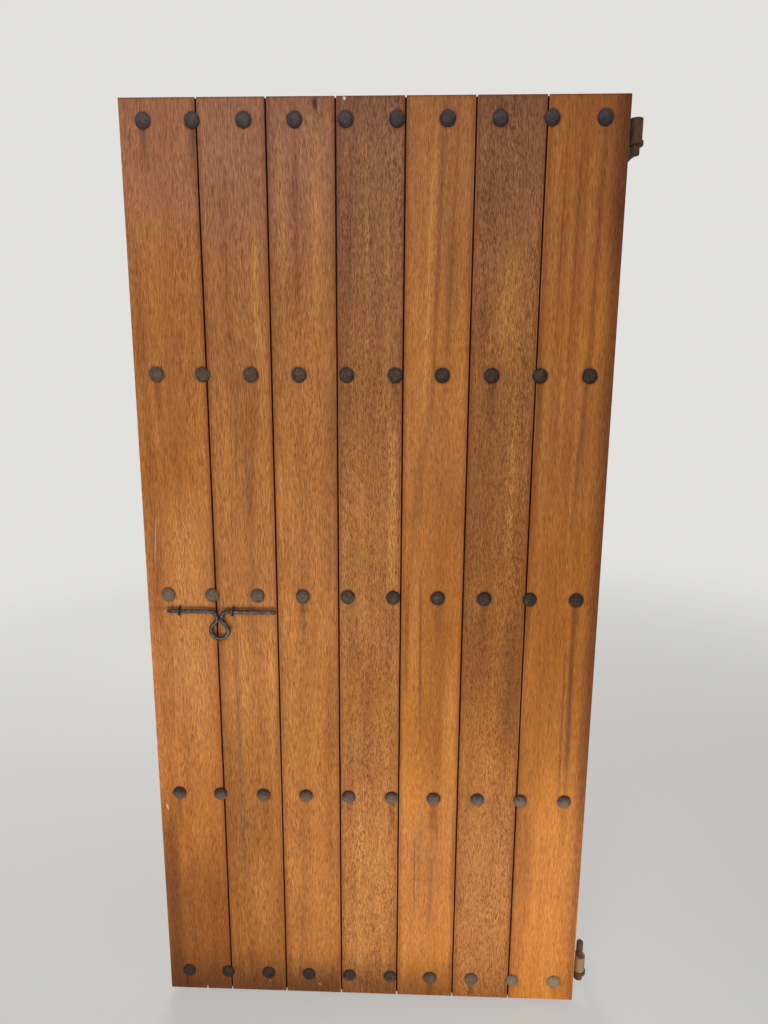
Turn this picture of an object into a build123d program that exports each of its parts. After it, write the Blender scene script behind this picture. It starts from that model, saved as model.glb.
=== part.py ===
"""A plank door leaf on wall pintles, with a bent-rod bolt: millimetres, +Z up.

The origin is on the hinge line at the level of the leaf's bottom edge. The nailed
face with the bolt looks along -Y, and the leaf runs from the hinge line along -X.
"""
from build123d import *
import math
import os

# Leaf and planks
LEAF_WIDTH = 1000.0
LEAF_HEIGHT = 2040.0
PLANK_THICKNESS = 25.0
FREE_EDGE_PLANK = 153.5
HINGE_EDGE_PLANK = 159.0
INNER_PLANKS = 5
JOINT_WIDTH = 3.0
TONGUE_THICKNESS = 8.0
TONGUE_OVERLAP = 6.0
GROOVE_PLAY = 0.5
EDGE_EASING = 1.8

# Ledges across the back
LEDGE_THICKNESS = 30.0
LEDGE_HEIGHT = 90.0
LEDGE_INSET = 10.0
LEDGE_WEATHERING = 9.0
TOP_LEDGE_DROP = 6.0
BOTTOM_LEDGE_RISE = 10.0

# Forged nails: rows follow the ledges, each edge plank holds two columns, the rest spread between
NAIL_ROWS = 5
INNER_COLUMNS = 6
TOP_ROW_DROP = 42.0
BOTTOM_ROW_RISE = 51.5
ROW_DRIFT = (0.0, 2.0, 3.5, -2.0, 0.0)
FREE_COLUMN_INSET = 48.0
HINGE_COLUMN_INSET = 49.0
FREE_JOINT_COLUMN_INSET = 7.5
HINGE_JOINT_COLUMN_INSET = 8.0
COLUMN_DRIFT = (0.0, 1.2, 1.5, 1.3, 1.9, -0.3, 1.1, 0.0)
NAIL_HEAD_RADIUS = 16.0
NAIL_HEAD_HEIGHT = 7.0
NAIL_RIM = 2.0
NAIL_FLAT_RADIUS = 11.0
NAIL_CROWN_RISE = 0.8
NAIL_SHANK = 6.0
NAIL_TIP = 2.6
NAIL_LENGTH = 48.0
NAIL_CLEARANCE = 0.1

# Pintles set in the wall
PIN_RADIUS = 8.0
PIN_CLEARANCE = 0.1
PIN_ROUNDING = 5.5
COLLAR_RADIUS = 17.0
COLLAR_HEIGHT = 9.0
COLLAR_ROUNDING = 1.8
COLLAR_GAP = 0.3
ROOT_RADIUS = 10.5
NECK_RADIUS = 8.0
NECK_PAST_COLLAR = 3.0
TANG_RADIUS = 7.0
TANG_LENGTH = 150.0
TANG_NICKS = 4
NICK_PITCH = 12.0
NICK_WIDTH = 3.0
NICK_DEPTH = 1.8
TANG_POINT = 10.0
TANG_POINT_RADIUS = 3.5
UPPER_PIN_PROUD = 4.0
LOWER_PIN_PROUD = 41.0

# Strap hinges on the back
STRAP_THICKNESS = 6.0
STRAP_LENGTH = 560.0
STRAP_WIDTH = 40.0
STRAP_END_WIDTH = 28.0
STRAP_PENNY_RADIUS = 20.0
EYE_TO_LEAF = 11.0
EYE_SEAM = 1.0
UPPER_STRAP_DROP = 48.0
LOWER_STRAP_RISE = 64.0
STRAP_SCREWS = 5
SCREW_RADIUS = 3.0
SCREW_LENGTH = 32.0
SCREW_HEAD_RADIUS = 7.5
SCREW_HEAD_HEIGHT = 4.0
SCREW_HEAD_RIM = 1.0
SCREW_CLEARANCE = 0.1

# Bolt bent from one round rod, and the two staples that hold it
ROD_RADIUS = 4.5
BOLT_DROP = 36.0
BOLT_STANDOFF = 4.0
BOLT_TIP_INSET = 39.0
BOLT_LENGTH = 250.5
BOLT_POINT = 14.0
BOLT_POINT_RADIUS = 2.0
BOLT_TAIL = 4.0
BOLT_TAIL_RADIUS = 3.4
LOOP_CENTRE_INSET = 161.3
LOOP_RADIUS = 19.4
LOOP_DROP = 43.5
LOOP_NECK_HALF_WIDTH = 5.0
STAPLE_RADIUS = 2.5
STAPLE_CLEARANCE = 0.4
STAPLE_DEPTH = 20.0
STAPLE_POINT = 5.0
STAPLE_POINT_RADIUS = 0.8
STAPLE_HOLE_CLEARANCE = 0.1
FREE_STAPLE_INSET = 72.0
LOOP_STAPLE_INSET = 192.0
TRAVEL_MARGIN = 0.6

# Places worked out from the sizes above
EYE_RADIUS = PIN_RADIUS + PIN_CLEARANCE + STRAP_THICKNESS
HINGE_EDGE_X = -(EYE_RADIUS + EYE_TO_LEAF)
FREE_EDGE_X = HINGE_EDGE_X - LEAF_WIDTH
STRAP_FACE_Y = EYE_RADIUS - STRAP_THICKNESS
LEDGE_FRONT_Y = STRAP_FACE_Y - LEDGE_THICKNESS
FACE_Y = LEDGE_FRONT_Y - PLANK_THICKNESS
TONGUE_Y = (FACE_Y + LEDGE_FRONT_Y) / 2
UPPER_STRAP_Z = LEAF_HEIGHT - UPPER_STRAP_DROP
LOWER_STRAP_Z = LOWER_STRAP_RISE


def evenly(first, last, count, drift):
    """Places spread evenly from first to last, each shifted by its own small drift."""
    step = (last - first) / (count - 1)
    return [first + step * i + drift[i] for i in range(count)]


ROW_Z = evenly(BOTTOM_ROW_RISE, LEAF_HEIGHT - TOP_ROW_DROP, NAIL_ROWS, ROW_DRIFT)
COLUMN_X = [
    FREE_EDGE_X + FREE_COLUMN_INSET,
    *evenly(
        FREE_EDGE_X + FREE_EDGE_PLANK - FREE_JOINT_COLUMN_INSET,
        HINGE_EDGE_X - HINGE_EDGE_PLANK + HINGE_JOINT_COLUMN_INSET,
        INNER_COLUMNS + 2,
        COLUMN_DRIFT,
    ),
    HINGE_EDGE_X - HINGE_COLUMN_INSET,
]
BOLT_Z = ROW_Z[NAIL_ROWS // 2] - BOLT_DROP
BOLT_Y = FACE_Y - BOLT_STANDOFF - ROD_RADIUS
LOOP_X = FREE_EDGE_X + LOOP_CENTRE_INSET


def seam_places():
    """X of the middle of each joint between planks, from the free edge on."""
    inner = (LEAF_WIDTH - FREE_EDGE_PLANK - HINGE_EDGE_PLANK) / INNER_PLANKS
    first = FREE_EDGE_X + FREE_EDGE_PLANK
    return [first + inner * i for i in range(INNER_PLANKS + 1)]


def along_y(x, y, z, direction=1):
    """A plane at a point, whose own Z looks along +Y, or along -Y for direction -1."""
    return Plane(origin=(x, y, z), x_dir=(1, 0, 0), z_dir=(0, direction, 0))


def across(x):
    """A plane across the leaf at one X, whose own X and Y are the Y and Z of the part."""
    return Plane(origin=(x, 0, 0), x_dir=(0, 1, 0), z_dir=(1, 0, 0))


def seen_from_front(y):
    """A plane at one Y, whose own X and Y are the X and Z of the part."""
    return Plane(origin=(0, y, 0), x_dir=(1, 0, 0), z_dir=(0, -1, 0))


def crown_arc(radius, rise, height):
    """The arc from the middle of a round crown out to its edge, and its slope angle there."""
    sphere = (radius**2 + rise**2) / (2 * rise)
    slope = math.asin(radius / sphere)
    middle = (sphere * math.sin(slope / 2), height - sphere + sphere * math.cos(slope / 2))
    return ThreePointArc((0, height), middle, (radius, height - rise)), slope


def domed_disc(radius, rim, height):
    """A round head with a straight rim and a crown that is part of a sphere, base at Z = 0."""
    crown, _ = crown_arc(radius, height - rim, height)
    outline = crown + Polyline((0, height), (0, 0), (radius, 0), (radius, rim))
    return revolve(Plane.XZ * make_face(outline), Axis.Z)


def hammered_head():
    """A nail's head, base at Z = 0: straight rim, rounded shoulder, crown hammered nearly flat."""
    crown, slope = crown_arc(NAIL_FLAT_RADIUS, NAIL_CROWN_RISE, NAIL_HEAD_HEIGHT)
    rim = (NAIL_HEAD_RADIUS, NAIL_RIM)
    outward = (math.cos(slope), -math.sin(slope))
    outline = crown + TangentArc(crown @ 1, rim, tangent=outward)
    outline += Polyline(rim, (NAIL_HEAD_RADIUS, 0), (0, 0), (0, NAIL_HEAD_HEIGHT))
    return revolve(Plane.XZ * make_face(outline), Axis.Z)


def nail_shank(clearance=0.0):
    """The square tapering shank of a nail whose head lies on the face at x = 0, z = 0."""
    side = NAIL_SHANK + 2 * clearance
    length = NAIL_LENGTH + clearance
    slope = math.degrees(math.atan((NAIL_SHANK - NAIL_TIP) / 2 / NAIL_LENGTH))
    return extrude(along_y(0, FACE_Y, 0) * Rectangle(side, side), length, taper=slope)


def nail_row(z):
    """The nails of one row, each a solid of its own."""
    nail = along_y(0, FACE_Y, 0, -1) * hammered_head() + nail_shank()
    return Compound(children=[Pos(x, 0, z) * nail for x in COLUMN_X])


def nail_holes(low_x, high_x, rows):
    """The holes of the nails between two X places, in the given rows."""
    hole = nail_shank(NAIL_CLEARANCE)
    half = NAIL_SHANK / 2 + NAIL_CLEARANCE
    columns = [x for x in COLUMN_X if low_x < x + half and x - half < high_x]
    return [Pos(x, 0, z) * hole for x in columns for z in rows]


def staple_holes():
    """The holes of the staples' legs in the planks."""
    reach = ROD_RADIUS + STAPLE_CLEARANCE + STAPLE_RADIUS
    radius = STAPLE_RADIUS + STAPLE_HOLE_CLEARANCE
    depth = STAPLE_DEPTH + STAPLE_HOLE_CLEARANCE
    leg = extrude(along_y(0, FACE_Y, 0) * Circle(radius), depth)
    return [
        Pos(FREE_EDGE_X + inset, 0, BOLT_Z + side * reach) * leg
        for inset in (FREE_STAPLE_INSET, LOOP_STAPLE_INSET)
        for side in (-1, 1)
    ]


def plank(left, right, has_groove, has_tongue):
    """One plank between two shoulders, with its groove, tongue and eased front edges."""
    half = TONGUE_THICKNESS / 2
    mouth = half + GROOVE_PLAY / 2
    bottom = TONGUE_OVERLAP + GROOVE_PLAY
    points = [(left, FACE_Y), (right, FACE_Y)]
    end = right
    if has_tongue:
        end = right + JOINT_WIDTH + TONGUE_OVERLAP
        points += [(right, TONGUE_Y - half), (end, TONGUE_Y - half)]
        points += [(end, TONGUE_Y + half), (right, TONGUE_Y + half)]
    points += [(right, LEDGE_FRONT_Y), (left, LEDGE_FRONT_Y)]
    if has_groove:
        points += [(left, TONGUE_Y + mouth), (left + bottom, TONGUE_Y + mouth)]
        points += [(left + bottom, TONGUE_Y - mouth), (left, TONGUE_Y - mouth)]
    board = extrude(make_face(Polyline(*points, close=True)), LEAF_HEIGHT)
    board = fillet(board.edges().filter_by(Axis.Z).group_by(Axis.Y)[0], EDGE_EASING)
    return board - nail_holes(left, end, ROW_Z) - staple_holes()


def planks():
    """All planks by name, numbered from the free edge to the hinge edge."""
    seams = seam_places()
    lefts = [FREE_EDGE_X] + [x + JOINT_WIDTH / 2 for x in seams]
    rights = [x - JOINT_WIDTH / 2 for x in seams] + [HINGE_EDGE_X]
    last = len(lefts) - 1
    return {
        f"plank_{i + 1}": plank(lefts[i], rights[i], i > 0, i < last) for i in range(last + 1)
    }


def screw_places(z):
    """X and Z of a strap's screws: midway between nails, the last in the penny end."""
    between = [(a + b) / 2 for a, b in zip(COLUMN_X, COLUMN_X[1:])]
    inner = [x for x in between if x > -STRAP_LENGTH + STRAP_PENNY_RADIUS][::-1]
    return [(x, z) for x in inner[: STRAP_SCREWS - 1]] + [(-STRAP_LENGTH, z)]


def screw_shank(clearance=0.0):
    """A screw's shank from under its head through the strap into a ledge, at x = 0, z = 0."""
    disc = along_y(0, EYE_RADIUS, 0, -1) * Circle(SCREW_RADIUS + clearance)
    return extrude(disc, SCREW_LENGTH + clearance)


def strap_screws(z):
    """The round-headed screws of one strap, each a solid of its own."""
    head = domed_disc(SCREW_HEAD_RADIUS, SCREW_HEAD_RIM, SCREW_HEAD_HEIGHT)
    screw = along_y(0, EYE_RADIUS, 0) * head + screw_shank()
    return Compound(children=[Pos(x, 0, h) * screw for x, h in screw_places(z)])


def ledge(z, low, strap_z):
    """A horizontal ledge behind one nail row, its upper back edge cut to shed rain."""
    x0 = FREE_EDGE_X + LEDGE_INSET
    x1 = HINGE_EDGE_X - LEDGE_INSET
    top = low + LEDGE_HEIGHT
    outline = Polyline(
        (LEDGE_FRONT_Y, low),
        (STRAP_FACE_Y, low),
        (STRAP_FACE_Y, top - LEDGE_WEATHERING),
        (STRAP_FACE_Y - LEDGE_WEATHERING, top),
        (LEDGE_FRONT_Y, top),
        close=True,
    )
    bar = extrude(across(x0) * make_face(outline), x1 - x0)
    bar -= nail_holes(x0, x1, [z])
    if strap_z is not None:
        hole = screw_shank(SCREW_CLEARANCE)
        bar -= [Pos(x, 0, h) * hole for x, h in screw_places(strap_z)]
    return bar


def ledges():
    """The ledges by name, numbered from the bottom; the end ones carry the straps."""
    lows = [z - LEDGE_HEIGHT / 2 for z in ROW_Z]
    lows[0] = BOTTOM_LEDGE_RISE
    lows[-1] = LEAF_HEIGHT - TOP_LEDGE_DROP - LEDGE_HEIGHT
    straps = [None] * NAIL_ROWS
    straps[0] = LOWER_STRAP_Z
    straps[-1] = UPPER_STRAP_Z
    return {f"ledge_{i + 1}": ledge(ROW_Z[i], lows[i], straps[i]) for i in range(NAIL_ROWS)}


def strap(z):
    """A strap hinge leaf: a tapering band with a penny end, rolled into an eye at the pin."""
    half = STRAP_WIDTH / 2
    end = STRAP_END_WIDTH / 2
    corners = [(0, -half), (0, half), (-STRAP_LENGTH, end), (-STRAP_LENGTH, -end)]
    flat = make_face(Polyline(*corners, close=True))
    flat += Pos(-STRAP_LENGTH, 0) * Circle(STRAP_PENNY_RADIUS)
    band = extrude(seen_from_front(EYE_RADIUS) * flat, STRAP_THICKNESS)
    bore = PIN_RADIUS + PIN_CLEARANCE
    eye = Cylinder(EYE_RADIUS, STRAP_WIDTH) - Cylinder(bore, STRAP_WIDTH)
    seam_y = STRAP_FACE_Y - EYE_SEAM / 2
    seam = Pos(-EYE_RADIUS / 2, seam_y, 0) * Box(EYE_RADIUS, EYE_SEAM, STRAP_WIDTH)
    hinge = band + eye - seam - Cylinder(bore, STRAP_WIDTH)
    hole = screw_shank(SCREW_CLEARANCE)
    hinge -= [Pos(x, 0, 0) * hole for x, _ in screw_places(z)]
    return Pos(0, 0, z) * hinge


def tang():
    """The round bar that goes into the wall, along its own Z: neck, shoulder, nicks and point."""
    straight = TANG_LENGTH - TANG_POINT
    bar = extrude(Circle(NECK_RADIUS), COLLAR_RADIUS + NECK_PAST_COLLAR)
    bar += extrude(Circle(TANG_RADIUS), straight)
    bar += Pos(0, 0, straight + TANG_POINT / 2) * Cone(TANG_RADIUS, TANG_POINT_RADIUS, TANG_POINT)
    ring = Circle(2 * TANG_RADIUS) - Circle(TANG_RADIUS - NICK_DEPTH)
    for i in range(TANG_NICKS):
        bar -= extrude(Plane(origin=(0, 0, straight - NICK_PITCH * (i + 1))) * ring, NICK_WIDTH)
    return bar


def pintle(strap_z, proud):
    """A wall pintle: pin with rounded top, collar under the eye, and a round tang along +Y."""
    seat = strap_z - STRAP_WIDTH / 2 - COLLAR_GAP
    pin_top = strap_z + STRAP_WIDTH / 2 + proud
    root_top = seat - COLLAR_HEIGHT
    tang_z = root_top - NECK_RADIUS
    stem = extrude(Plane(origin=(0, 0, tang_z)) * Circle(PIN_RADIUS), pin_top - tang_z)
    stem = fillet(stem.edges().sort_by(Axis.Z)[-1], PIN_ROUNDING)
    collar = extrude(Plane(origin=(0, 0, root_top)) * Circle(COLLAR_RADIUS), COLLAR_HEIGHT)
    collar = fillet(collar.edges(), COLLAR_ROUNDING)
    root = extrude(Plane(origin=(0, 0, tang_z - NECK_RADIUS)) * Circle(ROOT_RADIUS), 2 * NECK_RADIUS)
    return stem + collar + root + along_y(0, 0, tang_z) * tang()


def shoulder_radius():
    """Radius of the bend from the rod into the loop that leaves the neck at its width.

    The bend's circle touches the loop's circle from outside and stands off the loop's
    centre line by its own radius plus half the neck, which gives a quadratic.
    """
    linear = 2 * (LOOP_NECK_HALF_WIDTH - LOOP_DROP - LOOP_RADIUS)
    constant = LOOP_NECK_HALF_WIDTH**2 + LOOP_DROP**2 - LOOP_RADIUS**2
    return (-linear - math.sqrt(linear**2 - 4 * constant)) / 2


SHOULDER_RADIUS = shoulder_radius()
SHOULDER_REACH = SHOULDER_RADIUS + LOOP_NECK_HALF_WIDTH


def bolt():
    """The bolt: one rod along X, bent down into a closed loop and back, with drawn-out ends."""
    x0 = FREE_EDGE_X + BOLT_TIP_INSET
    x1 = x0 + BOLT_LENGTH
    loop_z = BOLT_Z - LOOP_DROP
    bend_z = BOLT_Z - SHOULDER_RADIUS
    share = LOOP_RADIUS / (LOOP_RADIUS + SHOULDER_RADIUS)
    touch_x = SHOULDER_REACH * share
    touch_z = loop_z + (bend_z - loop_z) * share
    start = (x0 + BOLT_POINT, BOLT_Z)
    finish = (x1 - BOLT_TAIL, BOLT_Z)
    lean = math.atan2(touch_z - bend_z, SHOULDER_REACH - touch_x)
    middle = (lean + math.pi / 2) / 2
    inner = SHOULDER_RADIUS * math.cos(middle)
    outer = bend_z + SHOULDER_RADIUS * math.sin(middle)
    bend_left = (LOOP_X - SHOULDER_REACH, BOLT_Z)
    bend_right = (LOOP_X + SHOULDER_REACH, BOLT_Z)
    touch_left = (LOOP_X - touch_x, touch_z)
    touch_right = (LOOP_X + touch_x, touch_z)
    loop_bottom = (LOOP_X, loop_z - LOOP_RADIUS)
    path = Line(start, bend_left)
    path += ThreePointArc(bend_left, (bend_left[0] + inner, outer), touch_left)
    path += ThreePointArc(touch_left, loop_bottom, touch_right)
    path += ThreePointArc(touch_right, (bend_right[0] - inner, outer), bend_right)
    path += Line(bend_right, finish)
    section = Pos(0, BOLT_Y, BOLT_Z) * (across(start[0]) * Circle(ROD_RADIUS))
    rod = sweep(section, path=seen_from_front(BOLT_Y) * path)
    point = Rot(0, -90, 0) * Cone(ROD_RADIUS, BOLT_POINT_RADIUS, BOLT_POINT)
    tail = Rot(0, 90, 0) * Cone(ROD_RADIUS, BOLT_TAIL_RADIUS, BOLT_TAIL)
    rod += Pos(x0 + BOLT_POINT / 2, BOLT_Y, BOLT_Z) * point
    return rod + Pos(x1 - BOLT_TAIL / 2, BOLT_Y, BOLT_Z) * tail


def staple(inset):
    """A round-wire staple over the rod, both pointed legs driven into the planks."""
    x = FREE_EDGE_X + inset
    reach = ROD_RADIUS + STAPLE_CLEARANCE + STAPLE_RADIUS
    end = FACE_Y + STAPLE_DEPTH - STAPLE_POINT
    path = Line((end, BOLT_Z + reach), (BOLT_Y, BOLT_Z + reach))
    crown = (BOLT_Y - reach, BOLT_Z)
    path += ThreePointArc((BOLT_Y, BOLT_Z + reach), crown, (BOLT_Y, BOLT_Z - reach))
    path += Line((BOLT_Y, BOLT_Z - reach), (end, BOLT_Z - reach))
    section = along_y(x, end, BOLT_Z + reach, -1) * Circle(STAPLE_RADIUS)
    body = sweep(section, path=across(x) * path)
    for level in (BOLT_Z + reach, BOLT_Z - reach):
        point = Cone(STAPLE_RADIUS, STAPLE_POINT_RADIUS, STAPLE_POINT)
        body += Pos(x, end + STAPLE_POINT / 2, level) * Rot(-90, 0, 0) * point
    return body


def build():
    """Every piece of the door by its node name."""
    nodes = planks() | ledges()
    for i, z in enumerate(ROW_Z):
        nodes[f"nail_row_{i + 1}"] = nail_row(z)
    nodes["upper_strap_hinge"] = strap(UPPER_STRAP_Z)
    nodes["lower_strap_hinge"] = strap(LOWER_STRAP_Z)
    nodes["upper_strap_screws"] = strap_screws(UPPER_STRAP_Z)
    nodes["lower_strap_screws"] = strap_screws(LOWER_STRAP_Z)
    nodes["upper_pintle"] = pintle(UPPER_STRAP_Z, UPPER_PIN_PROUD)
    nodes["lower_pintle"] = pintle(LOWER_STRAP_Z, LOWER_PIN_PROUD)
    nodes["sliding_bolt"] = bolt()
    nodes["free_side_staple"] = staple(FREE_STAPLE_INSET)
    nodes["loop_side_staple"] = staple(LOOP_STAPLE_INSET)
    return nodes


def report_places():
    """Print the places and limits that the part's description states."""
    travel_free = (LOOP_X - SHOULDER_REACH) - (FREE_EDGE_X + FREE_STAPLE_INSET) - STAPLE_RADIUS
    travel_back = (FREE_EDGE_X + LOOP_STAPLE_INSET) - STAPLE_RADIUS - (LOOP_X + SHOULDER_REACH)
    print("bolt travel", round(-(travel_free - TRAVEL_MARGIN), 2), round(travel_back - TRAVEL_MARGIN, 2))
    print("loop centre", round(LOOP_X, 2), round(BOLT_Y, 2), round(BOLT_Z - LOOP_DROP, 2))
    print("leaf X", round(FREE_EDGE_X, 2), round(HINGE_EDGE_X, 2), "face Y", round(FACE_Y, 2))
    for name, z in (("upper", UPPER_STRAP_Z), ("lower", LOWER_STRAP_Z)):
        level = z - STRAP_WIDTH / 2 - COLLAR_GAP - COLLAR_HEIGHT - NECK_RADIUS
        print(name, "tang Z", round(level, 2))
    print("tang Y from", COLLAR_RADIUS + NECK_PAST_COLLAR, "to", TANG_LENGTH - TANG_POINT)


if __name__ == "__main__":
    os.makedirs("parts", exist_ok=True)
    for node, shape in build().items():
        export_step(shape, f"parts/{node}.step")
    report_places()
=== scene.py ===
"""A plank door leaf on wall pintles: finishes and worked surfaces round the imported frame.

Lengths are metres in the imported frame. The origin is on the hinge line at the level of the
leaf's bottom edge, the nailed face looks along -Y and the leaf runs from there along -X.
Colours are written as 8-bit screen colours and made linear where a node takes them.
"""

import logging
import math
from dataclasses import dataclass, replace
from enum import Enum

import bpy
import numpy as np
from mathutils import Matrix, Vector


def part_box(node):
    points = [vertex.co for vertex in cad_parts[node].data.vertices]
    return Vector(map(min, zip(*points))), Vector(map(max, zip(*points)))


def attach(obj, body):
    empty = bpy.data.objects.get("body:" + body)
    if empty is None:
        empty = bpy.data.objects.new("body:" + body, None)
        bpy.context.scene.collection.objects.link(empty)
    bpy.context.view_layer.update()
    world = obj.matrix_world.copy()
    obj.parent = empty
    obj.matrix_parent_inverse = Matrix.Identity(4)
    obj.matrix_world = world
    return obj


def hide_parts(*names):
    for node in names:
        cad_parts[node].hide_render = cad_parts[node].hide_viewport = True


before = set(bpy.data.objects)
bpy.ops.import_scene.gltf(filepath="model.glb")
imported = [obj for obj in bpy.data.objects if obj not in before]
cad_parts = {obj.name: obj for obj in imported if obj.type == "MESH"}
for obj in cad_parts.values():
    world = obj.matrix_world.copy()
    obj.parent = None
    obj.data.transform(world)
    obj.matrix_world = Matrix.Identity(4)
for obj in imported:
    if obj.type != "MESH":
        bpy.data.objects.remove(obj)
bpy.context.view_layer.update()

LOG = logging.getLogger("plank_door")

Colour = tuple[int, int, int]
Point = tuple[float, float, float]
Skin = tuple[np.ndarray, list[np.ndarray]]

SEED_STEPS: Point = (1.0, 1.7, 0.6)
SHARP_DEGREES = 40


def linear(colour: Colour, gain: Point = (1.0, 1.0, 1.0)) -> tuple[float, float, float, float]:
    """Make a screen colour linear.

    Args:
        colour: Red, green and blue from 0 to 255.
        gain: What each is multiplied by once it is linear.

    Returns:
        The linear colour with full alpha.
    """
    shares = [c / 255 for c in colour]
    parts = [s / 12.92 if s <= 0.04045 else ((s + 0.055) / 1.055) ** 2.4 for s in shares]
    return (*(min(1.0, p * g) for p, g in zip(parts, gain)), 1.0)


class Field:
    """A value that varies over a surface: one output of a graph, with plain arithmetic."""

    def __init__(self, graph: "Graph", socket: bpy.types.NodeSocket) -> None:
        """Keep the graph and the output socket that the value comes from."""
        self.graph = graph
        self.socket = socket

    def __add__(self, other: "Field | float") -> "Field":
        """The sum."""
        return self.graph.maths("ADD", self, other)

    def __sub__(self, other: "Field | float") -> "Field":
        """The difference."""
        return self.graph.maths("SUBTRACT", self, other)

    def __rsub__(self, other: float) -> "Field":
        """The difference, with the plain number first."""
        return self.graph.maths("SUBTRACT", other, self)

    def __mul__(self, other: "Field | float") -> "Field":
        """The product."""
        return self.graph.maths("MULTIPLY", self, other)

    def size(self) -> "Field":
        """The value without its sign."""
        return self.graph.maths("ABSOLUTE", self)

    def rise(self, low: float, high: float) -> "Field":
        """A smooth step from 0 at low to 1 at high, which falls where high is under low."""
        ends = (low, high, 0.0, 1.0) if high > low else (high, low, 1.0, 0.0)
        return self.graph.stretch(self, ends, "SMOOTHSTEP")

    def onto(self, low: float, high: float) -> "Field":
        """The value from 0 to 1 stretched straight onto low to high, and held there."""
        return self.graph.stretch(self, (0.0, 1.0, low, high), "LINEAR")


Place = tuple[Field, Field, Field]


class Graph:
    """The node tree of a material or of the world, and the operations of the finishes."""

    def __init__(self, owner: bpy.types.Material | bpy.types.World) -> None:
        """Use the tree of a new material or world."""
        self.owner = owner
        owner.use_nodes = True
        self.tree = owner.node_tree

    @property
    def shader(self) -> bpy.types.Node:
        """The principled shader of a material's tree."""
        return self.tree.nodes["Principled BSDF"]

    def node(self, kind: str, *inputs: object, **settings: object) -> bpy.types.Node:
        """Add a node.

        Args:
            kind: The node's type.
            inputs: What feeds its inputs, in their order: fields or plain values.
            settings: Properties of the node to set.

        Returns:
            The node.
        """
        made = self.tree.nodes.new(kind)
        for key, value in settings.items():
            setattr(made, key, value)
        for socket, value in zip(made.inputs, inputs):
            self.feed(socket, value)
        return made

    def feed(self, socket: bpy.types.NodeSocket, value: object) -> None:
        """Link a field to a socket, or set a plain value there."""
        if isinstance(value, Field):
            self.tree.links.new(value.socket, socket)
        elif value is not None:
            socket.default_value = value

    def put(self, node: bpy.types.Node, **values: object) -> None:
        """Feed a node's inputs by their names."""
        for name, value in values.items():
            self.feed(node.inputs[name], value)

    def read(self, kind: str, output: str, **settings: object) -> Field:
        """A named output of a new input node."""
        return Field(self, self.node(kind, **settings).outputs[output])

    def maths(self, operation: str, *inputs: object) -> Field:
        """A maths node's result."""
        return Field(self, self.node("ShaderNodeMath", *inputs, operation=operation).outputs[0])

    def vector(self, operation: str, *inputs: object) -> Field:
        """A vector maths node's result."""
        node = self.node("ShaderNodeVectorMath", *inputs, operation=operation)
        return Field(self, node.outputs[0])

    def stretch(self, value: Field, ends: tuple[float, ...], curve: str) -> Field:
        """Map a value from one range to another and hold it there.

        Args:
            value: The field.
            ends: Where the first range starts and ends, then the second.
            curve: Name of the way between the ends.

        Returns:
            The mapped field.
        """
        node = self.node("ShaderNodeMapRange", value, *ends, interpolation_type=curve)
        return Field(self, node.outputs["Result"])

    def place(self) -> Place:
        """X, Y and Z of the surface point, from its Object coordinates."""
        node = self.node("ShaderNodeSeparateXYZ", self.read("ShaderNodeTexCoord", "Object"))
        return tuple(Field(self, out) for out in node.outputs)

    def noise(self, place: Place, scale: Point, seed: float, detail: float = 1.0) -> Field:
        """Smooth noise.

        Args:
            place: The three coordinates that it is read at.
            scale: Cells to the metre along each of them.
            seed: Shift through the noise, taken along each of them by its own step.
            detail: Octaves past the first.

        Returns:
            The noise, from 0 to 1 with its middle at a half.
        """
        joined = Field(self, self.node("ShaderNodeCombineXYZ", *place).outputs[0])
        shift = tuple(step * seed for step in SEED_STEPS)
        node = self.node("ShaderNodeTexNoise", self.vector("MULTIPLY_ADD", joined, scale, shift))
        self.put(node, Scale=1.0, Detail=detail)
        return Field(self, node.outputs[0])

    def blend(self, colour: Field, share: Field, towards: Colour) -> Field:
        """Blend a screen colour into a colour.

        Args:
            colour: The colour so far.
            share: Share of the screen colour.
            towards: The screen colour.

        Returns:
            The blended colour.
        """
        node = self.node("ShaderNodeMix", data_type="RGBA")
        wanted = {"Factor_Float": share, "A_Color": colour, "B_Color": linear(towards)}
        for socket in node.inputs:
            if socket.identifier in wanted:
                self.feed(socket, wanted[socket.identifier])
        return Field(self, next(s for s in node.outputs if s.identifier == "Result_Color"))

    def ramp(self, share: Field, colours: list[tuple[float, ...]]) -> Field:
        """Run a field through colours.

        Args:
            share: The field, from 0 to 1.
            colours: Linear colours, evenly spaced from 0 to 1.

        Returns:
            The colour at each point.
        """
        node = self.node("ShaderNodeValToRGB", share)
        while len(node.color_ramp.elements) < len(colours):
            node.color_ramp.elements.new(0.5)
        for i, (element, colour) in enumerate(zip(node.color_ramp.elements, colours)):
            element.position = i / (len(colours) - 1)
            element.color = colour
        return Field(self, node.outputs["Color"])

    def relief(self, height: Field, depth: float) -> Field:
        """A normal bent by a height field from 0 to 1 that stands for depth metres."""
        node = self.node("ShaderNodeBump")
        self.put(node, Strength=1.0, Distance=depth, Height=height)
        return Field(self, node.outputs["Normal"])

    def finish(
        self, colour: Field, roughness: Field, normal: Field, metallic: float, gloss: float
    ) -> None:
        """Feed the shader.

        Args:
            colour: The surface's colour.
            roughness: Its roughness.
            normal: Its bent normal.
            metallic: How metallic it is all over.
            gloss: Its specular level all over.
        """
        self.put(self.shader, Roughness=roughness, Normal=normal, Metallic=metallic)
        self.put(self.shader, **{"Base Color": colour, "Specular IOR Level": gloss})

    def mixed(self, share: Field, first: Field, second: Field, output: str) -> None:
        """Mix two shaders by a share of the second and show them at the tree's output."""
        mixed = self.node("ShaderNodeMixShader", share, first, second)
        self.put(self.tree.nodes[output], Surface=Field(self, mixed.outputs[0]))


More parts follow.
